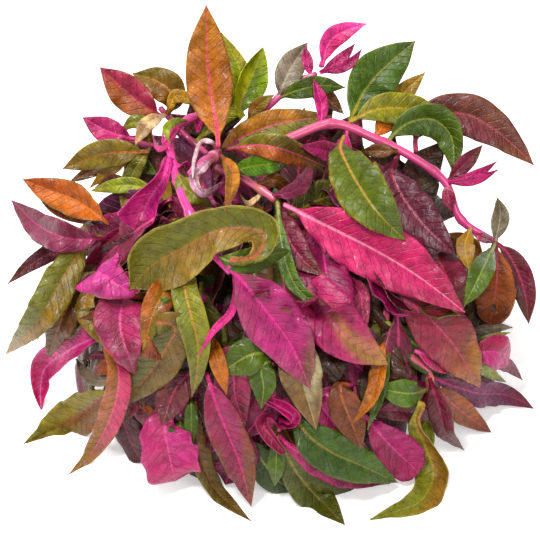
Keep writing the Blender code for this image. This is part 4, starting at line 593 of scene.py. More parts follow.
def ribs(places, half, roll, fold):
    """Left edge, midrib and right edge of a blade at each station, in true lengths."""
    centre = spread(places)
    along = unit(np.gradient(centre, axis=0))
    level = unit(np.column_stack((-along[:, 1], along[:, 0], np.zeros(len(along)))))
    across = np.cos(roll)[:, None] * level + np.sin(roll)[:, None] * np.array((0, 0, 1))
    across = unit(across - np.sum(across * along, axis=1, keepdims=True) * along)
    normal = np.cross(along, across)
    reach, rise = half[:, None] * math.cos(fold), half[:, None] * math.sin(fold)
    return np.stack((centre + reach * across + rise * normal, centre,
                     centre - reach * across + rise * normal), axis=1)


def slimmed(blade):
    """The blade with its thickness along the midrib as vectors, narrower and thinner where the midrib
    turns so sharply that the blade would cross itself."""
    centre = blade[:, 1]
    along = unit(np.gradient(centre, axis=0))
    across = blade[:, 0] - blade[:, 2]
    across[-1] = across[-2]
    offsets = [blade[:, 0] - centre, blade[:, 2] - centre, LEAF_THICKNESS * unit(np.cross(along, across))]
    chord = np.diff(centre, axis=0)
    for _ in range(SLIMMING_ROUNDS):
        for offset in offsets:
            advance = 1 + np.sum(np.diff(offset, axis=0) * chord, axis=1) / np.sum(chord * chord, axis=1)
            for i in np.flatnonzero(advance < LEAST_ADVANCE):
                offset[i:i + 2] *= SLIMMING
    left, right, body = offsets
    return np.stack((centre + left, centre, centre + right), axis=1), body


def across_blade(rows):
    """Points spread over a blade given by its left edge, midrib and right edge at each row."""
    part = np.linspace(0, 1, HALF_BLADE_POINTS)[:, None]
    halves = [rows[:, i, None] * (1 - part) + rows[:, i + 1, None] * part for i in (0, 1)]
    return np.concatenate(halves, axis=1)


def raise_to_clear(lack, steps, pinned):
    """Height to add at each station so that a blade, straight between stations, rises by at least lack."""
    count = (len(lack) - 1) // steps + 1
    part = np.arange(len(lack)) / steps
    lack = np.where(part < PINNED_PART, -1, lack) if pinned else lack
    lift = np.zeros(count)
    for _ in range(BLADE_ROUNDS):
        short = lack - np.interp(part, np.arange(count), lift)
        if short.max() < CLOSE_ENOUGH:
            break
        extra = np.zeros(count)
        for i in np.flatnonzero(short > 0):
            k = min(int(part[i]), count - 2)
            for station, weight in ((k, k + 1 - part[i]), (k + 1, part[i] - k)):
                extra[station] = max(extra[station], short[i] * min(1, BLADE_RISE_FACTOR * weight))
        lift += extra
        if pinned:
            lift[0] = 0
        lift[1:-1] = np.maximum(lift[1:-1], (lift[:-2] + lift[2:]) / 2 - BLADE_KINK)
    return lift


def lay_leaf(row, piles, stem):
    """Ribs and thickness of a leaf that is laid on the pieces before it, from its joint on the stem."""
    name, sprig, _, width, roll_base, roll_tip, fold, lift_base, lift_tip, *places = row
    side = STEMS[sprig][0]
    pile = piles[side]
    own = name.startswith("leaf")
    stem_points = between(stem[0], JOINT_STEPS)
    stem_radius = np.interp(np.arange(len(stem_points)) / JOINT_STEPS, np.arange(len(stem[1])), stem[1])
    first = np.array((*places[0], heap_depth(*places[0]) + lift_base))
    mates = [mate for mate in pile.layers if mate == "stem_" + sprig or mate.startswith(sprig + "/")]
    spots = seen(stem_points)
    cover = pile.top(without=mates)[pile.cells(spots)] + JOINT_COVER - spots[:, 2]
    gaps = np.linalg.norm(stem_points - spread(first), axis=1)
    cost = gaps + COVERED_COST * np.maximum(cover, 0)
    nearest = int(np.argmin(cost))
    if side == BACK and cover[nearest] > FAR_COVER:
        return None
    joint = stem_points[nearest]
    if np.linalg.norm((joint - spread(first))[:2]) < JOINT_REACH and len(places) > 1:
        places = places[1:]
    if own:
        target = np.array((*places[0], heap_depth(*places[0]) + lift_base))
        leave = unit((spread(target) - joint) * (1, 1, JOINT_RISE_PART))
        if nearest < len(stem_points) - 1:
            course = unit(stem_points[nearest + 1] - stem_points[max(nearest - 1, 0)])
            leave = unit(leave - JOINT_SIDEWAYS * np.dot(leave, course) * course)
        joint = joint + leave * (stem_radius[nearest] + STEM_CLEARANCE)
    start = seen(joint)
    path = [tuple(start[:2])] + [tuple(place) for place in places]
    length = np.linalg.norm(np.diff(np.array(path), axis=0), axis=1).sum()
    if side == BACK or name.startswith("dark") or length * width < SMALL_AREA:
        stations = HIDDEN_STATIONS
    else:
        stations = LARGE_STATIONS if own or length * width > LARGE_AREA else SMALL_STATIONS
    middle = smooth_path(path, stations)
    depth = heap_depth(middle[:, 0], middle[:, 1]) + lift_base + (lift_tip - lift_base) * stations
    rise = np.clip(stations * length / PETIOLE_RISE, 0, 1)
    depth = start[2] + (depth - start[2]) * rise * rise * (3 - 2 * rise)
    depth = np.maximum(depth, floor_depth(middle[:, 1]))
    half = half_widths(name, width, stations)
    roll = np.radians(roll_base + (roll_tip - roll_base) * stations)
    blade = ribs(np.column_stack((middle, depth)), half, roll, math.radians(fold))
    under = across_blade(between(blade, BLADE_STEPS))
    places_under = seen(under)
    cells = pile.cells(places_under)
    mates = ["stem_" + sprig] if own else mates
    near = np.linalg.norm(under - joint, axis=-1) < stem_radius[nearest] + JOINT_ROOM
    ceiling = np.where(near, pile.top(without=mates)[cells], pile.top()[cells])
    lack = (ceiling + LEAF_GAP - places_under[..., 2]).max(axis=1)
    lift = raise_to_clear(lack, BLADE_STEPS, pinned=not own)
    left = lack - np.interp(np.arange(len(lack)) / BLADE_STEPS, np.arange(len(lift)), lift)
    if side == BACK and (lift.max() > FAR_LIFT or left.max() > LEAF_GAP):
        return None
    blade = seen(blade)
    blade[..., 2] += lift[:, None]
    blade, body = slimmed(spread(blade))
    over = blade.copy()
    over[:, 1] += body
    surface = np.concatenate([across_blade(between(face, BLADE_LAID_STEPS)) for face in (over, blade)])
    for each in piles.values():
        each.add(name if own else sprig + "/" + name, to_world(surface, side))
    return blade, stations


def far_leaves():
    """Rows for the leaves on the far side: pairs along each stem there, laid from the floor upward."""
    chance = np.random.default_rng(FAR_SEED)
    rows = []
    for part in FAR_NODES:
        for sprig in (sprig for sprig, stem in STEMS.items() if stem[0] == BACK):
            places = np.array([place[:2] for place in STEMS[sprig][4:]], dtype=float)
            start, ahead = smooth_path(places, np.array((part - FAR_BACKSTEP, part)))
            course = math.atan2(*(ahead - start)[::-1])
            for hand in (-1, 1):
                turn = course + hand * math.radians(chance.uniform(*FAR_ANGLE))
                length, width = chance.uniform(*FAR_LENGTH), chance.uniform(*FAR_WIDTH)
                bend = turn - hand * math.radians(chance.uniform(*FAR_BEND))
                inner, outer = FAR_MIDDLE_PART * length, (1 - FAR_MIDDLE_PART) * length
                middle = start + inner * np.array((math.cos(turn), math.sin(turn)))
                tip = middle + outer * np.array((math.cos(bend), math.sin(bend)))
                rows.append(("far_%d" % len(rows), sprig, FAR_TINTS[chance.integers(len(FAR_TINTS))], width,
                             chance.uniform(*FAR_ROLL_BASE), chance.uniform(*FAR_ROLL_TIP), FAR_FOLD,
                             FAR_HEIGHT_BASE, FAR_HEIGHT_TIP if part < FAR_END_PART else FAR_HEIGHT_END,
                             tuple(start), tuple(middle), tuple(tip)))
    return rows


def lay_heap():
    """Every stem and leaf in its place: stems by sprig, and leaves by name."""
    piles = {side: Pile(side) for side in (FRONT, BACK)}
    stems = {}
    for sprig, row in STEMS.items():
        if row[3] is not None:
            stems[sprig] = lay_stem(sprig, piles)
    leaves = {}
    for row in (*LEAVES, *far_leaves()):
        if row[0] == "stem":
            stems[row[1]] = lay_stem(row[1], piles)
        else:
            leaves[row[0]] = row, lay_leaf(row, piles, stems[row[1]])
    return stems, {name: (row, leaf) for name, (row, leaf) in leaves.items() if leaf}


# Stems of living plant tissue, hot pink to salmon, round and juicy, with a swollen joint where each
# pair of leaves stood. They are smooth and shine softly, with fine paler stripes along them.
STEM_SIDES = 14
STEM_STEP_FINE = 1.6
STEM_UP = np.array((0.0, 0.3, 1.0))
STEM_START_BULGE, STEM_END_BULGE = 0.3, 0.6
STEM_LIFTS = {"front": 5.0}
JOINT_START, JOINT_SPACING, JOINT_SPREAD, JOINT_SWELL = 6, 23.0, 1.7, 0.3
JOINT_PAINT_PART, JOINT_PAINT_SHIFT, JOINT_PAINT_SPREAD = 0.7, 1, 1.2
STEM_SHINE = {"Roughness": 0.3, "Coat Weight": 0.3, "Coat Roughness": 0.15}
STRIPE_RADIUS, STRIPE_STRETCH = 2, (1.0, 0.07, 1.0)
STRIPES = {"Scale": 1.1, "Detail": 3.0}
STRIPE_NOISE, STRIPE_SHADES = (0.35, 0.7), (0.72, 1.35)
STRIPE_RELIEF, STRIPE_HEIGHT = 0.35, 0.00015
WELD = 0.000001
# Paints at a stem's start, at its end and at its joints
STEM_PAINTS = {
    "right": ("D85C80", "C83880", "B83C68"), "centre_upper": ("C44C78", "CC6478", "B07048"),
    "front": ("D83C8C", "E03C90", "C84880"), "crown": ("C4407C", "D85C90", "E0A0A8"),
    "top": ("C04078", "B44478", "8A4A48"), "lower_right": ("D85C84", "C84A62", "C8A048"),
}
STEM_PAINT = ("C83C7C", "B84472", "8A4450")


def through(values, knots, at):
    """Values at the given parts of a smooth curve that passes through the knots' values."""
    slopes = np.gradient(values, knots, axis=0)
    k = np.clip(np.searchsorted(knots, at, side="right") - 1, 0, len(knots) - 2)
    gap = (knots[k + 1] - knots[k])[:, None]
    t = (at - knots[k])[:, None] / gap
    return ((2 * t ** 3 - 3 * t ** 2 + 1) * values[k] + (t ** 3 - 2 * t ** 2 + t) * gap * slopes[k]
            + (3 * t ** 2 - 2 * t ** 3) * values[k + 1] + (t ** 3 - t ** 2) * gap * slopes[k + 1])


def eased(low, high, value):
    """0 below low, 1 above high, and smooth between."""
    part = np.clip((value - low) / (high - low), 0, 1)
    return part * part * (3 - 2 * part)


def blend(first, second, part):
    """Two colours mixed, with the given part of the second."""
    return first * (1 - part[..., None]) + second * part[..., None]


def grid(columns, rows):
    """A flat grid with each vertex's column and row."""
    flat = bmesh.new()
    bmesh.ops.create_grid(flat, x_segments=columns, y_segments=rows, size=1)
    column = np.array([round((vertex.co.x + 1) / 2 * columns) for vertex in flat.verts])
    row = np.array([round((vertex.co.y + 1) / 2 * rows) for vertex in flat.verts])
    mesh = bpy.data.meshes.new("grid")
    flat.to_mesh(mesh)
    flat.free()
    return mesh, column, row


def shaped(name, pattern, places, values):
    """A copy of a grid with its vertices at places[row, column] and values[...] as attributes."""
    mesh, column, row = pattern
    piece = mesh.copy()
    piece.name = name
    piece.vertices.foreach_set("co", places[row, column].astype(float).ravel())
    for title, table in values.items():
        kind, field = ("FLOAT_COLOR", "color") if table.shape[-1] == 4 else ("FLOAT_VECTOR", "vector")
        data = piece.attributes.new(title, kind, "POINT").data
        data.foreach_set(field, table[row, column].astype(float).ravel())
    piece.polygons.foreach_set("use_smooth", [True] * len(piece.polygons))
    return piece


def placed(world, least):
    """World millimetres as metres in the shared frame, at least the given height above the floor."""
    world[..., 2] = np.maximum(world[..., 2], least)
    return (world + (*MOUNT_SHIFT, 0)) * MM


def node(tree, kind, settings, **links):
    """A node with settings on its properties and sockets, and links into the sockets that are named."""
    made = tree.nodes.new("ShaderNode" + kind)
    for key, value in settings.items():
        if hasattr(made, key):
            setattr(made, key, value)
        else:
            made.inputs[key].default_value = value
    for key, socket in links.items():
        tree.links.new(socket, made.inputs[key])
    return made


def worked(tree, operation, *inputs):
    """The result of an operation on sockets and plain numbers."""
    made = node(tree, "Math", {"operation": operation})
    for slot, value in zip(made.inputs, inputs):
        if isinstance(value, bpy.types.NodeSocket):
            tree.links.new(value, slot)
        else:
            slot.default_value = value
    return made.outputs[0]


def ranged(tree, value, low_high, start_end, interpolation="LINEAR"):
    """A value moved from the range low to high into the range start to end."""
    settings = {"interpolation_type": interpolation}
    settings.update(zip(("From Min", "From Max", "To Min", "To Max"), (*low_high, *start_end)))
    return node(tree, "MapRange", settings, Value=value).outputs[0]


def noise(tree, place, values):
    """Noise at a place, as fine and as rough as its values say."""
    return node(tree, "TexNoise", values, Vector=place).outputs[0]


def multiplied(tree, colour, level):
    """A colour made lighter or darker by a level."""
    settings = {"blend_type": "MULTIPLY", "Fac": 1.0}
    return node(tree, "MixRGB", settings, Color1=colour, Color2=level).outputs["Color"]


def covered(tree, below, above, part):
    """The colour below with a part of the one above over it."""
    return node(tree, "MixRGB", {}, Fac=part, Color1=below, Color2=above).outputs["Color"]


def set_surface(tree, shader, colour, height, strength, distance):
    """Gives a shader its colour, and a relief of the given height."""
    tree.links.new(colour, shader.inputs["Base Color"])
    relief = node(tree, "Bump", {"Strength": strength, "Distance": distance}, Height=height)
    tree.links.new(relief.outputs["Normal"], shader.inputs["Normal"])


def stem_mesh(sprig, stem):
    """A stem as one closed tube, swollen at its joints, with the colour of its tissue on it."""
    points, radius = stem
    side = STEMS[sprig][0]
    run = run_along(points)
    rows = int(run[-1] / STEM_STEP_FINE)
    at = np.linspace(0, 1, rows + 1)
    line = through(points, run / run[-1], at)
    line[:, 2] += STEM_LIFTS.get(sprig, 0) * np.sin(math.pi * at)
    line = to_world(line, side)
    along = unit(np.gradient(line, axis=0))
    thick = np.interp(at, run / run[-1], radius)
    from_joint = (at * run[-1] + JOINT_START) % JOINT_SPACING - JOINT_SPACING / 2
    swollen = np.exp(-(from_joint / JOINT_SPREAD) ** 2)
    thick = thick * (1 + JOINT_SWELL * swollen)
    thick[[0, -1]] = 0
    line[0] = line[1] - STEM_START_BULGE * along[0]
    line[-1] = line[-2] + STEM_END_BULGE * along[-1]
    across = unit(np.cross(along, STEM_UP))
    over = np.cross(across, along)
    turn = np.linspace(0, 2 * math.pi, STEM_SIDES + 1)
    ring = np.cos(turn)[:, None] * across[:, None] + np.sin(turn)[:, None] * over[:, None]
    places = placed(line[:, None] + thick[:, None, None] * ring, 0)
    start, end, joint = (np.array((*linear(c), 1)) for c in STEM_PAINTS.get(sprig, STEM_PAINT))
    colour = blend(start, end, at)
    near_joint = np.exp(-((from_joint + JOINT_PAINT_SHIFT) / JOINT_PAINT_SPREAD) ** 2)
    colour = blend(colour, joint, JOINT_PAINT_PART * near_joint)
    colour = np.repeat(colour[:, None], STEM_SIDES + 1, axis=1)
    laid = np.broadcast_arrays(STRIPE_RADIUS * np.cos(turn), (at * run[-1])[:, None],
                               STRIPE_RADIUS * np.sin(turn))
    laid = np.stack(laid, axis=-1)
    mesh = shaped("stem_" + sprig, grid(STEM_SIDES, rows), places, {"tissue": colour, "lay": laid})
    shell = bmesh.new()
    shell.from_mesh(mesh)
    bmesh.ops.remove_doubles(shell, verts=shell.verts, dist=WELD)
    bmesh.ops.recalc_face_normals(shell, faces=shell.faces)
    shell.to_mesh(mesh)
    shell.free()
    return mesh


def stem_skin():
    """Fresh stem skin: stripes about 1 mm apart across the stem and 13 mm long, and a soft waxy shine."""
    finish, tree, shader = painted("fresh_stem_skin", STEM_SHINE)
    tissue, lay = (node(tree, "Attribute", {"attribute_name": title}).outputs for title in ("tissue", "lay"))
    stretch = node(tree, "Mapping", {"Scale": STRIPE_STRETCH}, Vector=lay["Vector"])
    stripes = noise(tree, stretch.outputs["Vector"], STRIPES)
    colour = multiplied(tree, tissue["Color"], ranged(tree, stripes, STRIPE_NOISE, STRIPE_SHADES))
    set_surface(tree, shader, colour, stripes, STRIPE_RELIEF, STRIPE_HEIGHT)
    return finish


stems, leaves = lay_heap()
skin = stem_skin()
for sprig, stem in stems.items():
    piece = bpy.data.objects.new("fresh_stem_" + sprig, stem_mesh(sprig, stem))
    piece.data.materials.append(skin)
    bpy.context.scene.collection.objects.link(piece)
    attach(piece, "root")
    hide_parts("stem_" + sprig)


# Leaves, each a thin waxy blade on a fleshy stalk with a raised rib. The upper face is olive, brown,
# orange or magenta, patchy and with paler side veins, and the lower face is pinker. Margins are wavy.
# Paints give the stalk, the left and right halves as the leaf points away, the tip, the rib, the margin.
TINT_PAINTS = {
    "orange": "D8557E BC642C B05C28 985024 D87A60 C0804A",
    "rust": "C0486E 94482C 8A402C 6E2E22 B8606A A06A40",
    "hot_pink": "E04A98 D03C88 C4347C A82868 EE7AB4 DC70A4",
    "magenta": "D83A88 AC2C6C A02862 7C2248 DE5098 BC4A7C",
    "mauve": "C84A80 884058 78384C 6A343C B45078 8A5260",
    "wine": "B83268 6A2236 5E2230 502826 A83A5C 743640",
    "brown": "B04A4A 6A3E28 603824 563820 A85C48 80583A",
    "olive": "C0606A 6C6A20 64661E 645822 A0824A 807630",
    "olive_rust": "C8506A 825624 7C5A24 746424 B4745A 8E743C",
    "green": "B86A60 4A6224 445C20 4C6024 909A5A 6A7234",
    "lime": "C88A5A 8C9630 848E2C 948832 B4A860 A29E4A",
    "amber": "C8785A A87A28 A07426 94702A C49A50 B08C40",
    "grey": "A87A72 80706A 766860 6E5C50 A0908A 8E807A",
    "cream": "E0A0A0 DCBBA6 D4AE98 C89C88 E8CDBE E4CCB8",
    # dark: painted shade, a near-black wine brown for leaves deep in the heap where only shade falls
    "dark": "64282E 48221F 3C2A18 38201A 5A2C34 4A2C26",
    "rose": "C8487E 9C405C 943C56 7E3642 CC6086 AC5670",
    "purple": "C03A74 743656 6C3250 6A3238 B04A78 86486A",
}
LEAF_PAINTS = {
    "orange_brown_top": "D0487C B06E36 76702E 7A6A30 D0607A A87A3A",
    "orange_narrow_down": "D8587C C07A30 9A6A2C 7A4A24 D8607A D08068",
    "cream_ribbon": "C08090 C8A0A4 DCC4C4 C8B0B0 E4D4D4 D8BCC0",
    "cream_cup": "D0A0A8 C8A8A8 B890A0 C08898 E0D0D0 D8C4C4",
    "green_behind_crown": "A8704A 5A861C 527C1E 5A7A20 909A4A 7A8A34",
    "leaf_crown_orange": "DC3C84 AC6026 A05824 A8682E D8487A 86622A",
    "leaf_crown_right": "DC4488 766A2C A4503A 5E4024 D8688A 9A9A48",
    "leaf_olive_curled": "D8488A 966C4C 66662A 6A6428 A8644A B0A064",
    "leaf_magenta_long": "E898B8 BC2C68 C23A70 9A3A54 E8A0B0 C8607C",
    "leaf_green_front": "E0608A 4C5E22 566226 506424 B08848 9A9040",
    "leaf_magenta_front": "E4489C AC3474 B63C7C 704A44 E0509C B0607C",
    "leaf_pink_cone": "D03C8C B42C7C C03C80 B4387A D05C98 C86098",
    "leaf_pink_triangle": "B8488C B44684 A84078 B44480 CC5C90 B87850",
    "leaf_deep_rose": "C03C7C A02860 A83468 A07A50 C8508A B04A74",
    "leaf_rose_brown": "C84A7C 7C3436 92404C 96663A C05A78 985460",
    "leaf_pink_red": "D04A90 BC3A72 C44478 A04040 E07AAA C86A7C",
    "leaf_red_square": "B83068 A82C58 D05890 C04A7C D06090 D880A0",
    "leaf_wine_grey": "A03050 5A2A36 66343E 5A3038 984058 6E4248",
    "leaf_purple_brown_right": "B83A68 663036 70383C 74403A A04A58 84504A",
    "leaf_olive_yellow": "C0706A 8A8228 7E7A26 96862E BA9C58 A0964A",
    "leaf_green_top_right": "B07A5A 466226 3E5820 4C5E24 8E8A44 707634",
    "leaf_pink_tip": "E050A0 D84890 C8407A D85098 F080B8 D86AA4",
    "leaf_yellow_folded": "B0A04A AEB41C 6E8A22 849028 B4AC50 A8A83A",
    "leaf_rust_upper_left": "B8405E 96482A 923648 8E3048 B04A5A A86038",
    "leaf_magenta_far_left": "D04A90 A83068 9E2C62 943058 DC6A98 AC4A72",
    "leaf_olive_far_left": "B8604A 70601E 7E6A22 6A4A22 B05A3C 8A8038",
    "leaf_orange_left": "C8505A B8602C A4502A A84A2A D07060 6E7034",
    "leaf_olive_long": "B86A4A 766026 6A662A 926630 845032 86783A",
    "leaf_mauve_left": "D04A8C A03460 8C3858 7E3444 CC5890 B86058",
    "leaf_orange_flank": "E04A80 9C482A AC542C 6A662A C4703C 9C683A",
    "leaf_hot_pink_left": "D84A90 C83A80 D04C8C A42A5A E88ABA D868A0",
    "leaf_pink_olive": "D84A80 BC3E66 9C4E3E 766634 DC6A8C AA684E",
    "leaf_olive_floor": "B04A50 7A4628 7E6A22 6E6A24 8E3A3A 8E7E3C",
    "leaf_green_long": "D86A70 888432 72762C 6A6630 C0785A 9A944A",
    "leaf_olive_wide": "B0506A 6A4E20 56501C 5E4A20 A85A4C 746230",
    "leaf_mauve_brown": "C04A70 7A3E46 70383C 6A3A38 B05A6C 844E4E",
    "leaf_torn_magenta": "D0408C BC4280 B23A70 A23460 DC6A98 C46090",
    "leaf_magenta_brown": "D04088 8E2C58 862A4C 6E4030 CC4084 844A40",
    "leaf_brown_floor": "B04050 66482E 5E422A 665830 9A504A 786038",
    "leaf_grey_front": "A08A7A A08E7E 785442 6E483A A89888 94806E",
    "leaf_green_crinkled": "A87A60 566A26 4C6022 566428 909A5A 747C38",
    "leaf_green_glossy": "A86A50 3E5A1E 38521C 466022 86743C 626E32",
    "leaf_dark_olive_bottom": "A0504A 4C501C 464C1C 524E20 84764A 64642E",
    "leaf_magenta_broad": "D0408C A4306C 9A2C5C A83C68 CC5C90 B0507C",
    "leaf_folded_floor": "B06A4A A07646 8E8C3A 869040 AA965E A29C4A",
    "leaf_rust_middle": "B84A50 783A34 6E362E 66382F A8584E 884E42",
}
# The lower face's paint where it isn't that of the stalk. That of the dark tint is painted shade.
UNDER_PAINTS = {
    "olive": "8A5A48", "green": "6E7A4A", "olive_rust": "9A5A48", "lime": "9A9A50", "orange": "B05A50",
    "rust": "A0445A", "brown": "8A4A48", "dark": "3A1E22",
}
# How far the left and right halves curl in radians, lifts in depth, blunter tips, and outlines as
# parts of the length and of half the width
CURLS = {
    "leaf_olive_curled": (0.5, 1.3), "leaf_hot_pink_left": (1.9, 0.6), "leaf_pink_cone": (1.1, 1.1),
    "leaf_yellow_folded": (1.2, 0.4), "leaf_folded_floor": (1.2, 0.4),
    "leaf_torn_magenta": (0.9, -0.9), "rolled_pink": (1.5, 1.5), "rolled_magenta": (1.5, 1.5),
}
RAISED = {"leaf_pink_triangle": 0.9}
BLUNTER = {"leaf_olive_curled": 1.8}
OUTLINES = {
    "leaf_pink_cone": ((0, 0.12, 0.5, 0.85, 0.96, 1), (0.12, 0.2, 0.62, 1.0, 1.08, 0.9)),
    "leaf_pink_triangle": ((0, 0.06, 1), (1.3, 1.45, 0.15)),
    "leaf_torn_magenta": ((0, 0.15, 0.3, 0.45, 0.6, 0.75, 0.9, 1),
                          (0.2, 0.55, 0.85, 0.8, 0.95, 0.86, 0.9, 0.5)),
    "cream_ribbon": ((0, 0.3, 0.7, 1), (0.3, 0.45, 0.35, 0.15)),
    "cream_cup": ((0, 0.3, 0.7, 1), (0.35, 0.6, 0.5, 0.2)),
    "rolled_pink": ((0, 0.2, 0.6, 1), (0.2, 0.6, 0.65, 0.3)),
    "rolled_magenta": ((0, 0.2, 0.6, 1), (0.2, 0.6, 0.65, 0.3)),
}
COLUMNS, ROWS = 16, 42
HIDDEN_COLUMNS, HIDDEN_ROWS = 8, 20

# Form: how far a blade's halves arch, the waves of its margin, and how high its rib and veins stand
ARCH, CURL_UNEVEN = -0.75, 0.25
WAVE, WAVE_LENGTH, WAVE_SPREAD = 0.11, 13.0, (0.6, 1.5)
SECOND_WAVE, SECOND_LENGTH = 0.5, 0.56
MARGIN_UNEVEN, UNEVEN_LENGTH, UNEVEN_PHASE = 0.025, 3.7, 6
BLADE_START = (0.1, 0.3)
VEIN_SPACING, VEIN_SLANT, VEIN_RISE = 4.2, 0.9, 0.08
RIB_HALF_WIDTH, RIB_NARROWING, RIB_FULL_AT = 0.75, 0.75, 14
RIB_SPREAD, RIB_RISE = 0.6, 0.25
NARROW_LEAF, NARROW_PETIOLE = 6, 0.8
BLUNT_RANGE, BLUNT_ROUNDING, CUT_ROUNDING = (0.5, 0.95), 0.06, 0.05
LEAST_HALF_WIDTH = 0.01
LEAF_FLOOR = 0.15
STALK_FLESH, RIB_FLESH, BLADE_FLESH = 1.0, 0.45, 0.2
STALK_END = (0.04, 0.2)
FLESH = 1.7 * MM

# Colour: how much of each paint shows, and over which part of the blade it comes in
PATCH_PAINT, PATCH_RANGE = 0.45, (0.1, 0.7)
TIP_PAINT, TIP_RANGE, TIP_UNEVEN = 0.9, (0.55, 0.95), 0.16
MARGIN_PAINT, MARGIN_RANGE, MARGIN_PATCHY, MARGIN_START = 0.55, (0.84, 1.0), 0.05, (0.1, 0.25)
STALK_RANGE, STALK_SLANT = (0.05, 0.26), 0.3
HALVES_MEET = (-0.08, 0.08)
UNDER_PAINT = 0.6
PATCH_WAVES = (9, 4, 0, 3.14)
# Random tone of each leaf, and painted shade for the leaves deep in the heap and round its sides
SHADES, GREEN_SHADES, INNER_PAINTED_SHADE = (0.85, 1.1), (0.94, 1.06), 0.6
DEPTH_OF_COLOUR, BLUE_HELD_BACK = 0.5, 0.3

# Tissue: the veins' swerve, edges and tint, then patches, specks and crinkles, scaled to a metre of blade
WANDER, VEIN_SWERVE = {"Scale": 0.35, "Detail": 2.0}, 1.6
VEIN_EDGE, VEIN_TINT, VEIN_GROOVE = (0.0, 0.45), 0.09, -0.3
RIB_EDGE, RIB_TINT = (-0.15, 0.3), 0.7
PATCHES = {"Scale": 210.0, "Detail": 4.0, "Roughness": 0.62}
PATCH_NOISE, PATCH_SHADES = (0.34, 0.66), (0.62, 1.16)
SPECKS = {"Scale": 900.0, "Detail": 2.0}
SPECK_NOISE, SPECK_SHADES = (0.3, 0.7), (0.9, 1.08)
CRINKLES = {"Scale": 380.0, "Detail": 5.0, "Roughness": 0.6, "Distortion": 0.6}
LEAF_RELIEF, LEAF_RELIEF_HEIGHT = 0.9, 0.0009
WORN_NOISE, WORN_SHINE = (0.3, 0.7), (-0.08, 0.12)
LEAF_SPECULAR, LEAF_COAT_ROUGHNESS = 0.32, 0.12
UPPER_SHINE, LOWER_SHINE = (0.3, 0.08), (0.5, 0.05)


def deep(hex_colour):
    """A tissue colour in linear light, with its weakest channel and its blue held back."""
    colour = np.array(linear(hex_colour))
    share = colour / colour.max()
    colour[colour.argmin()] *= share.min() ** DEPTH_OF_COLOUR
    colour[2] *= share[2] ** BLUE_HELD_BACK
    return np.array((*colour, 1))


def paint(colours, along, away, right, field):
    """Tissue colour over a blade, with soft, uneven edges between its parts, and the colour of its rib."""
    stalk, left_half, right_half, tip, rib, margin = (deep(colour) for colour in colours.split())
    colour = blend(left_half, right_half, right)
    colour = blend(colour, tip, PATCH_PAINT * eased(*PATCH_RANGE, field))
    colour = blend(colour, tip, TIP_PAINT * eased(*TIP_RANGE, along + TIP_UNEVEN * field))
    at_margin = MARGIN_PAINT * eased(*MARGIN_RANGE, away + MARGIN_PATCHY * field)
    colour = blend(colour, margin, at_margin * eased(*MARGIN_START, along))
    colour = blend(stalk, colour, eased(*STALK_RANGE, along + STALK_SLANT * away))
    return colour, rib


def rounded(at, part):
    """1 along a blade, with a round fall to 0 over the last part of its length."""
    return np.sqrt(np.clip((1 - at) / part, 0, 1))


def outline(name, width, at):
    """Half the width of a blade along its length, of its own shape where it has one."""
    half = half_widths(name, width, at, NARROW_PETIOLE if width < NARROW_LEAF else PETIOLE_HALF_WIDTH)
    if name in BLUNTER:
        half = half * (1 + BLUNTER[name] * eased(*BLUNT_RANGE, at)) * rounded(at, BLUNT_ROUNDING)
    if name in OUTLINES:
        half = width / 2 * np.interp(at, *OUTLINES[name]) * rounded(at, CUT_ROUNDING)
    return half


def blade_surface(name, width, leaf, at, over, chance):
    """Places on a blade at parts of its length and of its half width, curled, waved and with its rib
    and veins raised. Then millimetres across and along it, and how near each place is to the rib."""
    blade, stations = leaf
    if name in RAISED:
        heights = blade[:, 1:2, 2]
        blade = blade + (RAISED[name] * (heights.max() - heights))[..., None] * (0, 0, 1)
    centre = through(blade[:, 1], stations, at)
    reach = blade[:, (0, 2)] - blade[:, 1:2]
    planned = half_widths(name, width, stations)
    kept = np.linalg.norm(reach, axis=-1) / np.maximum(planned, LEAST_HALF_WIDTH)[:, None]
    kept[-1] = kept[-2]
    reach = unit(reach)
    reach[-1] = reach[-2]
    sides = [unit(through(reach[:, hand], stations, at)) for hand in (0, 1)]
    half = outline(name, width, at)
    normal = unit(np.cross(unit(np.gradient(centre, axis=0)), sides[0] - sides[1]))
    length = run_along(centre)
    away = np.abs(over)
    curls = CURLS.get(name, (ARCH, ARCH))
    places = np.empty((len(at), len(over), 3))
    for hand, chosen in ((0, over < 0), (1, over >= 0)):
        bend = curls[hand] * (1 + CURL_UNEVEN * chance.uniform(-1, 1))
        first = -bend / 2 if abs(curls[hand]) < 1 else 0
        margin = np.sin(length / UNEVEN_LENGTH + chance.uniform(0, UNEVEN_PHASE))
        uneven = 1 + MARGIN_UNEVEN * margin * eased(*BLADE_START, at)
        wide = (half * uneven * np.interp(at, stations, kept[:, hand]))[:, None]
        out = (np.sin(first + bend * away[chosen]) - np.sin(first)) / bend
        up = (np.cos(first) - np.cos(first + bend * away[chosen])) / bend
        phase = chance.uniform(0, 2 * math.pi, 2)
        ripple = (np.sin(2 * math.pi * length / WAVE_LENGTH + phase[0])
                  + SECOND_WAVE * np.sin(2 * math.pi * length / (SECOND_LENGTH * WAVE_LENGTH) + phase[1]))
        up = up + WAVE * chance.uniform(*WAVE_SPREAD) * ripple[:, None] * away[chosen] ** 2
        places[:, chosen] = (centre[:, None] + (wide * out)[..., None] * sides[hand][:, None]
                             + (wide * up)[..., None] * normal[:, None])
    across = over * half[:, None]
    rib = np.exp(-(across / RIB_SPREAD) ** 2) * (1 - at)[:, None] ** 0.5
    veins = np.cos(2 * math.pi * (length[:, None] - VEIN_SLANT * np.abs(across)) / VEIN_SPACING)
    risen = eased(*BLADE_START, at)[:, None]
    relief = RIB_RISE * rib + VEIN_RISE * veins * (away * (1 - away) * 4) * risen
    return places + relief[..., None] * normal[:, None], across, length, rib


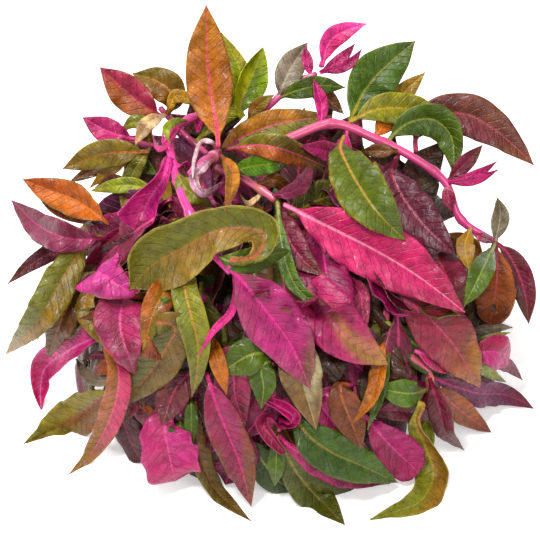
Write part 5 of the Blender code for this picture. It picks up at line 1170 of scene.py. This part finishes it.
def leaf_mesh(name, row, leaf, pattern, chance):
    """A leaf's upper face with the colours of its tissue on it, and how fleshy it is at each vertex."""
    _, sprig, tint, width = row[:4]
    _, column, line = pattern
    at, over = np.linspace(0, 1, line.max() + 1), np.linspace(-1, 1, column.max() + 1)
    places, across, length, rib = blade_surface(name, width, leaf, at, over, chance)
    world = placed(to_world(places, STEMS[sprig][0]), LEAF_FLOOR)
    along, over = np.broadcast_arrays(at[:, None], over)
    away = np.abs(over)
    waves = chance.uniform(-1, 1, (4, 4)) * PATCH_WAVES
    field = sum(np.sin(a * along + b * over + d) for a, b, _, d in waves) / 3
    colours = LEAF_PAINTS.get(name, TINT_PAINTS[tint])
    # Leaves deep in the heap and round its sides are darkened further: painted shade
    shade = chance.uniform(*SHADES) * (INNER_PAINTED_SHADE if name.startswith("inner") else 1)
    tissue, rib_colour = paint(colours, along, away, eased(*HALVES_MEET, over), field)
    tissue = tissue * (shade, shade * chance.uniform(*GREEN_SHADES), shade, 1)
    under = deep(UNDER_PAINTS.get(tint, colours.split()[0]))
    under = blend(tissue, under, np.full(along.shape, UNDER_PAINT))
    rib_table = np.broadcast_to(rib_colour, tissue.shape).copy()
    rib_widths = RIB_HALF_WIDTH * (1 - RIB_NARROWING * at) * min(1, width / RIB_FULL_AT)
    rib_table[..., 3] = rib_widths[:, None]
    laid = np.stack(np.broadcast_arrays(across, length[:, None], away), axis=-1)
    mesh = shaped(name, pattern, world, {"tissue": tissue, "under": under, "rib": rib_table, "lay": laid})
    flesh = np.maximum(BLADE_FLESH, RIB_FLESH * rib)
    flesh = flesh + (STALK_FLESH - flesh) * (1 - eased(*STALK_END, at))[:, None]
    return mesh, flesh[line, column]


def blade_tissue(name, colour_attribute, roughness, coat):
    """Waxy leaf tissue: side veins 4.2 mm apart that slant to the tip, patches of 5 mm, crinkles of 3 mm
    and specks of 1 mm."""
    finish, tree, shader = painted(name, {"Specular IOR Level": LEAF_SPECULAR, "Coat Weight": coat,
                                          "Coat Roughness": LEAF_COAT_ROUGHNESS})
    tissue, rib, lay = (node(tree, "Attribute", {"attribute_name": title}).outputs
                        for title in (colour_attribute, "rib", "lay"))
    place = node(tree, "TexCoord", {}).outputs["Object"]
    parts = node(tree, "SeparateXYZ", {}, Vector=lay["Vector"]).outputs
    away = worked(tree, "ABSOLUTE", parts["X"])
    course = worked(tree, "ADD", worked(tree, "MULTIPLY", away, -VEIN_SLANT), parts["Y"])
    wander = noise(tree, lay["Vector"], WANDER)
    swerve = worked(tree, "MULTIPLY_ADD", wander, VEIN_SWERVE, course)
    paced = worked(tree, "PINGPONG", swerve, VEIN_SPACING / 2)
    vein = ranged(tree, paced, VEIN_EDGE, (1.0, 0.0), "SMOOTHSTEP")
    within_rib = worked(tree, "SUBTRACT", rib["Alpha"], away)
    rib_mask = ranged(tree, within_rib, RIB_EDGE, (0.0, 1.0), "SMOOTHSTEP")
    patches = noise(tree, place, PATCHES)
    specks = noise(tree, place, SPECKS)
    crinkle = noise(tree, place, CRINKLES)
    patch = ranged(tree, patches, PATCH_NOISE, PATCH_SHADES)
    speck = ranged(tree, specks, SPECK_NOISE, SPECK_SHADES)
    colour = multiplied(tree, tissue["Color"], worked(tree, "MULTIPLY", patch, speck))
    colour = covered(tree, colour, rib["Color"], worked(tree, "MULTIPLY", vein, VEIN_TINT))
    colour = covered(tree, colour, rib["Color"], worked(tree, "MULTIPLY", rib_mask, RIB_TINT))
    grooves = worked(tree, "MULTIPLY_ADD", vein, VEIN_GROOVE, crinkle)
    set_surface(tree, shader, colour, grooves, LEAF_RELIEF, LEAF_RELIEF_HEIGHT)
    worn = ranged(tree, patches, WORN_NOISE, [roughness + more for more in WORN_SHINE])
    tree.links.new(worn, shader.inputs["Roughness"])
    return finish


# Leaves deep in the heap, seen through its gaps, and leaves that hang round its sides, both darkened with
# painted shade. They are the same living tissue, at seeded places, and grow from the stem nearest to them.
INNER_COUNT, INNER_SEED = 95, 3
INNER_REACH, INNER_HEART, INNER_SWING, INNER_BEND = (72, -62, 62), 12, 0.9, 0.5
INNER_EDGE, INNER_MIDDLE_PART = (84, 80, -5), 0.45
INNER_LENGTH, INNER_WIDTH, INNER_DEPTH, INNER_DROOP = (34, 50), (13, 19), (9, 17), 3
INNER_ROLL, INNER_TWIST, INNER_FOLD = (-25, 25), 10, 12
# The dark tint among these is painted shade
INNER_TINTS = ("wine", "wine", "magenta", "olive", "green", "rose", "brown", "purple", "dark")
FLANK_COUNT = 130
FLANK_TOPS, FLANK_DRIFT, FLANK_DROP, FLANK_FLOOR = (20, 84), 0.4, 0.85, 2.5
FLANK_RADIUS, FLANK_WIDE, FLANK_CROWN, FLANK_SHELL = 80, 1.05, 98, (0.8, 1.0)
FLANK_TILT = 0.5


def nearest_stem(side, right, up):
    """The rooted stem of a side that passes nearest to a place."""
    rooted = [sprig for sprig in STEMS if STEMS[sprig][0] == side and STEMS[sprig][3] is not None]
    return min(rooted, key=lambda sprig: min(math.hypot(place[0] - right, place[1] - up)
                                             for place in STEMS[sprig][4:]))


def flank_leaf(chance):
    """A leaf that hangs just inside the heap's outer leaves, anywhere round it, upper face outward."""
    at = LARGE_STATIONS
    top, turn = chance.uniform(*FLANK_TOPS), chance.uniform(-math.pi, math.pi)
    turns = turn + chance.uniform(-FLANK_DRIFT, FLANK_DRIFT) * at
    heights = np.maximum(top - FLANK_DROP * chance.uniform(*INNER_LENGTH) * at, FLANK_FLOOR)
    radius = FLANK_RADIUS * np.sqrt(1 - (heights / FLANK_CROWN) ** 2) * chance.uniform(*FLANK_SHELL)
    outward = np.column_stack((np.sin(turns), -np.cos(turns), FLANK_TILT + 0 * at))
    centre = np.column_stack((FLANK_WIDE * radius * outward[:, 0], radius * outward[:, 1], heights))
    width = chance.uniform(*INNER_WIDTH)
    across = unit(np.cross(unit(np.gradient(centre, axis=0)), unit(outward)))
    across = across * half_widths("inner", width, at)[:, None]
    side = FRONT if centre[0, 1] < 0 else BACK
    blade = from_world(np.stack((centre - across, centre, centre + across), axis=1), side)
    tint = INNER_TINTS[chance.integers(len(INNER_TINTS))]
    return ("inner", nearest_stem(side, *blade[0, 1, :2]), tint, width), (blade, at)


def under_leaf(side, chance):
    """A leaf deep in the heap: it points outward and lies well below the mean surface."""
    while True:
        right, up = chance.uniform(-INNER_REACH[0], INNER_REACH[0]), chance.uniform(*INNER_REACH[1:])
        away = math.atan2(up - INNER_HEART, right) + chance.uniform(-INNER_SWING, INNER_SWING)
        length = chance.uniform(*INNER_LENGTH)
        bend = away + chance.uniform(-INNER_BEND, INNER_BEND)
        inner, outer = INNER_MIDDLE_PART * length, (1 - INNER_MIDDLE_PART) * length
        middle = (right + inner * math.cos(away), up + inner * math.sin(away))
        tip = (middle[0] + outer * math.cos(bend), middle[1] + outer * math.sin(bend))
        if math.hypot(tip[0] / INNER_EDGE[0], (tip[1] - INNER_EDGE[2]) / INNER_EDGE[1]) < 1:
            break
    tint = INNER_TINTS[chance.integers(len(INNER_TINTS))]
    row = ("inner", nearest_stem(side, right, up), tint, chance.uniform(*INNER_WIDTH))
    places = smooth_path(((right, up), middle, tip), LARGE_STATIONS)
    depth = heap_depth(places[:, 0], places[:, 1]) - chance.uniform(*INNER_DEPTH)
    depth = np.maximum(depth - INNER_DROOP * LARGE_STATIONS, floor_depth(places[:, 1]) + 1)
    roll = np.radians(chance.uniform(*INNER_ROLL) + INNER_TWIST * LARGE_STATIONS)
    half = half_widths("inner", row[3], LARGE_STATIONS)
    blade = ribs(np.column_stack((places, depth)), half, roll, math.radians(INNER_FOLD))
    return row, (blade, LARGE_STATIONS)


inner_chance = np.random.default_rng(INNER_SEED)
for side in (FRONT, BACK):
    for number in range(INNER_COUNT):
        leaves["inner_%d_%d" % (side + 1, number)] = under_leaf(side, inner_chance)
for number in range(FLANK_COUNT):
    leaves["inner_flank_%d" % number] = flank_leaf(inner_chance)

leaf_grid, hidden_grid = grid(COLUMNS, ROWS), grid(HIDDEN_COLUMNS, HIDDEN_ROWS)
upper_face = blade_tissue("waxy_leaf_upper_face", "tissue", *UPPER_SHINE)
lower_face = blade_tissue("leaf_lower_face", "under", *LOWER_SHINE)
for number, (name, (row, leaf)) in enumerate(leaves.items()):
    own = name.startswith("leaf")
    pattern = hidden_grid if name.startswith(("dark_1", "dark_2", "inner")) else leaf_grid
    mesh, flesh = leaf_mesh(name, row, leaf, pattern, np.random.default_rng(number))
    piece = bpy.data.objects.new("blade_" + name, mesh)
    for finish in (upper_face, lower_face):
        piece.data.materials.append(finish)
    bpy.context.scene.collection.objects.link(piece)
    group = piece.vertex_groups.new(name="flesh")
    for k, weight in enumerate(flesh):
        group.add((k,), float(weight), "REPLACE")
    body = piece.modifiers.new("flesh", "SOLIDIFY")
    body.thickness = FLESH
    body.offset = -1
    body.vertex_group = "flesh"
    body.material_offset = 1
    body.material_offset_rim = 0
    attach(piece, "root")
    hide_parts(name if own else "stem_" + row[1])
